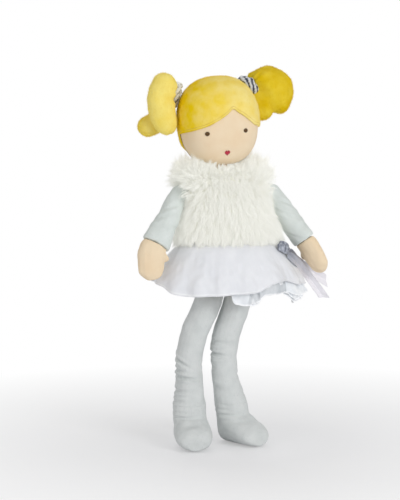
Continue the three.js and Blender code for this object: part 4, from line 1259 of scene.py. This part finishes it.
def tube(name, route, finish):
    """A thin round edge along a row of points."""
    sides = 8
    radius_mm = 0.5
    last = len(route) - 1

    def place(u, v):
        spot = min(v * last, last - 1e-6)
        i = int(spot)
        here = route[i].lerp(route[i + 1], spot - i)
        run = (route[min(i + 1, last)] - route[max(i - 1, 0)]).normalized()
        side = run.cross(Vector((0, 0, 1))).normalized()
        up = side.cross(run)
        return here + (side * math.cos(u * math.tau) + up * math.sin(u * math.tau)) * radius_mm * MM

    return wrapped(name, sides, len(route), place, finish, closed=True)


def turned_hem(name, layer, finish, per_degree):
    """The round edge along a layer's hem."""
    for number, low, high, way in sectors_within(*ALL_ROUND):
        steps = max(4, round((high - low) * per_degree))
        route = [layer(math.radians(low + (high - low) * (i / steps)), 1.0) for i in range(steps + 1)]
        edge = tube(f"{name}_{number}", route, finish)
        hang(edge, layer, *way)


skirt_layer("lining", lining_layer, LINING, 0.83, 28, "skirt_lining", 0.25)
skirt_layer("overskirt", top_layer, ORGANZA, 1.22, 44, "organza_overskirt", 0.2,
            crumple=gathered)
turned_hem("overskirt_hem", top_layer, ORGANZA, 0.83)

jag = np.random.default_rng(5)
JAGS = [jag.uniform(-1, 1, 70) for _ in range(3)]


def veil_layer(number, low, high, out, share_of_drop, start, loose_mm, puff_mm):
    """A torn-edged strip of organza under the skirt: it hangs by VEIL_HEM and crumples towards its edge."""
    def place(angle, v):
        degrees = math.degrees(angle)
        u = (degrees - low) / (high - low)
        share = start + (0.95 - start) * v
        taper = min(1, 8 * u, 8 * (1 - u))
        ragged = np.interp(u * 69, np.arange(70), JAGS[number])
        drop = share_of_drop * through(VEIL_HEM, degrees)[0] + 0.7 * taper * ragged
        loose = loose_mm * v ** 2 * (0.6 + 0.5 * math.exp(-((degrees + 22) / 26) ** 2))
        waves = math.sin(0.33 * degrees + 3 * v + number)
        waves += 0.45 * math.sin(0.87 * degrees - 8 * v + 2 * number)
        # below the caught-up skirt it puffs out
        puff = puff_mm * min(max((v - 0.7) / 0.25, 0), 1) * math.exp(-((degrees + 14) / 20) ** 2)
        return skirt_point(angle, share, out + loose * waves + puff, drop)
    return place


def crushed(number, loose_mm):
    """A veil is crumpled more and more towards its hem."""
    def crumple(veil):
        depth = 2.0 * loose_mm * kept(veil, "along") ** 2 * swell(places(veil.data), 11, 70 + number) * MM
        pushed(veil, depth)
    return crumple


# each veil's two ends in degrees, mm outside the lining, share of VEIL_HEM, where it starts down the skirt,
# and how far it crumples and puffs out in mm
VEILS = {
    "veil_inner": (-106, 63, -1.6, 1.0, 0.4, 0.9, 1.0),
    "veil_middle": (-86, 60, -0.4, 0.8, 0.45, 0.8, 2.2),
    "veil_outer": (-79, 52, 1.9, 0.5, 0.45, 0.5, 3.4),
}
for number, (name, (low, high, out, share_of_drop, start, loose_mm, puff_mm)) in enumerate(VEILS.items()):
    layer = veil_layer(number, low, high, out, share_of_drop, start, loose_mm, puff_mm)
    skirt_layer(name, layer, VEIL, 1.8, 34, "organza_ruffle", 0.12, (low, high),
                crushed(number, loose_mm))
# painted light: the front veil and the puffed-out ends catch the light, so they get the brighter copy
for name in ("veil_inner_1", "veil_inner_2", "veil_inner_3", "veil_middle_6", "veil_outer_6"):
    bpy.data.objects[name].data.materials[0] = PAINTED_LIGHT_VEIL.material


def pleated(where):
    return 0.3 * np.cos(60 * np.arctan2(where[:, 1], where[:, 0] - MIDDLE - 5 * MM))


stuffed("waistband_cloth", "waistband", LINING, "torso", 0.7, 4, pleated)

# Satin sash: knot and two slanted tails


def on_skirt(degrees, share, stand_off):
    """A place over the overskirt without its folds, stand_off mm clear of it."""
    return skirt_point(math.radians(degrees), share, 4.15 + stand_off, 0, 0)


KNOT_DEGREES = -36
knot_turn = math.radians(KNOT_DEGREES)
knot_out = Vector((math.cos(knot_turn), math.sin(knot_turn), 0.5)).normalized()
knot_foot = on_skirt(KNOT_DEGREES, 0.17, 0)
knot_centre = knot_foot + knot_out * 2.7 * MM
knot_end = knot_centre + (on_skirt(-22, 0.31, 0) - knot_foot).normalized() * 6.85 * MM


def curve_at(points, t):
    """Smooth route through points, t from 0 to 1."""
    spot = min(t * (len(points) - 1), len(points) - 1 - 1e-6)
    i = int(spot)
    s = spot - i
    p = [points[min(max(i + k, 0), len(points) - 1)] for k in (-1, 0, 1, 2)]
    return 0.5 * (2 * p[1] + (p[2] - p[0]) * s + (2 * p[0] - 5 * p[1] + 4 * p[2] - p[3]) * s * s
                  + (3 * p[1] - p[0] - 3 * p[2] + p[3]) * s ** 3)


RIBBON_MM = 9.5


def ribbon(name, node, points, slant, opened):
    """A tail of the sash along points; slant is mm at its cut end, opened degrees from knot to tip."""
    wide_first = Vector((0.3, -0.2, 0.85))
    wide_last = Vector((0.5, 0, 0.85))

    def place(u, v):
        here = curve_at(points, v)
        run = (curve_at(points, min(v + 0.02, 1)) - curve_at(points, max(v - 0.02, 0))).normalized()
        wide = wide_first.lerp(wide_last, v)
        wide = (wide - run * wide.dot(run)).normalized()
        face = wide.cross(run)
        if face.dot(knot_out) < 0:
            face = -face
        # folded lengthwise at the knot, opening out flat towards the tip
        leaf = math.radians(50 - opened * v ** 1.5)
        from_fold = abs(u - 0.5) * RIBBON_MM
        rounded = math.sqrt(from_fold ** 2 + 0.5 ** 2) - 0.5
        across = math.copysign(from_fold * math.cos(leaf), u - 0.5) * (1 - 0.3 * math.exp(-v * 14))
        rise = rounded * math.sin(leaf) - 0.6 + 0.25 * math.sin(7 * v + 3 * u)
        end = slant * (2 * u - 1) * max(0, (v - 0.75) / 0.25)
        return here + (wide * across + face * rise + run * end) * MM

    piece = wrapped(name, 20, 72, place, SATIN)
    cloth(piece, 0.35)
    worn(piece, "torso", [node])
    long = run_length([curve_at(points, i / 40) for i in range(41)])


def wound(where):
    return 0.35 * np.sin(((where - np.array(knot_centre)) @ np.array([0.3, 0.2, 0.9])) / MM * 1.9)


stuffed("sash_knot_satin", "sash_knot", KNOT, "torso", 0.45, 8, wound)

# each tail's start by the knot in mm, where it lies on the skirt in degrees and share of the way down, the
# steps of its free end in mm, the slant of its cut in mm and how far it opens in degrees
TAILS = {
    "sash_tail_back": ((0, 0.6, 1.4), ((-20, 0.3), (-7, 0.42)), ((14, 5, -9), (31, 6, -19)), -3.2, 26),
    "sash_tail_front": ((-0.4, -1, -1.8), ((-24, 0.4), (-10, 0.56)), ((12, 3, -13), (23, 4, -27)), 3.4, 14),
}
for node, (start, lying, free, slant, opened) in TAILS.items():
    route = [knot_end + Vector(start) * MM] + [on_skirt(degrees, share, 2.1) for degrees, share in lying]
    route += [route[2] + Vector(step) * MM for step in free]
    ribbon(f"{node}_satin", node, route, slant, opened)

# Floor and backdrop

ground = Finish("pale_floor", 0.9)
ground.colour(ground.clouds(90, 2), dye(236, 236, 238), dye(241, 241, 243))
away = ground.node("ShaderNodeVectorMath", {"operation": "LENGTH"}, {0: ground.places}, "Value")
seen = ground.node("ShaderNodeLightPath", {}, {}, "Is Camera Ray")
paper = ground.node("ShaderNodeEmission", {}, {"Strength": 1.0})
lit = ground.node("ShaderNodeMixShader", {}, {0: seen * (ground.between(away, 0.08, 0.4) * 0.65 + 0.35),
                                              1: Flow(ground, ground.shader.outputs[0]), 2: paper})
ground.link(lit, ground.tree.nodes["Material Output"].inputs["Surface"])
floor_shape = bmesh.new()
bmesh.ops.create_grid(floor_shape, x_segments=4, y_segments=4, size=4)
floor = piece_from("floor", floor_shape, ground)
floor.location.z = -0.5 * MM
floor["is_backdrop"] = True

world = bpy.data.worlds.new("studio")
bpy.context.scene.world = world
world.use_nodes = True
studio = Nodes(world.node_tree)
direct = studio.node("ShaderNodeLightPath", {}, {}, "Is Camera Ray")
glossy = studio.node("ShaderNodeLightPath", {}, {}, "Is Glossy Ray")
shown = studio.node("ShaderNodeMath", {"operation": "ADD", "use_clamp": True}, {0: direct, 1: glossy})
sky = world.node_tree.nodes["Background"]
sky.inputs["Color"].default_value = (1, 1, 1, 1)
studio.link(studio.node("ShaderNodeMapRange", {}, {"Value": shown, "To Min": 0.5, "To Max": 1.0}),
            sky.inputs["Strength"])
bpy.context.scene.view_settings.view_transform = "Standard"

boxes = {"cad": cad_box, "visual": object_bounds()}
{name: [list(corner) for corner in box] for name, box in boxes.items()}
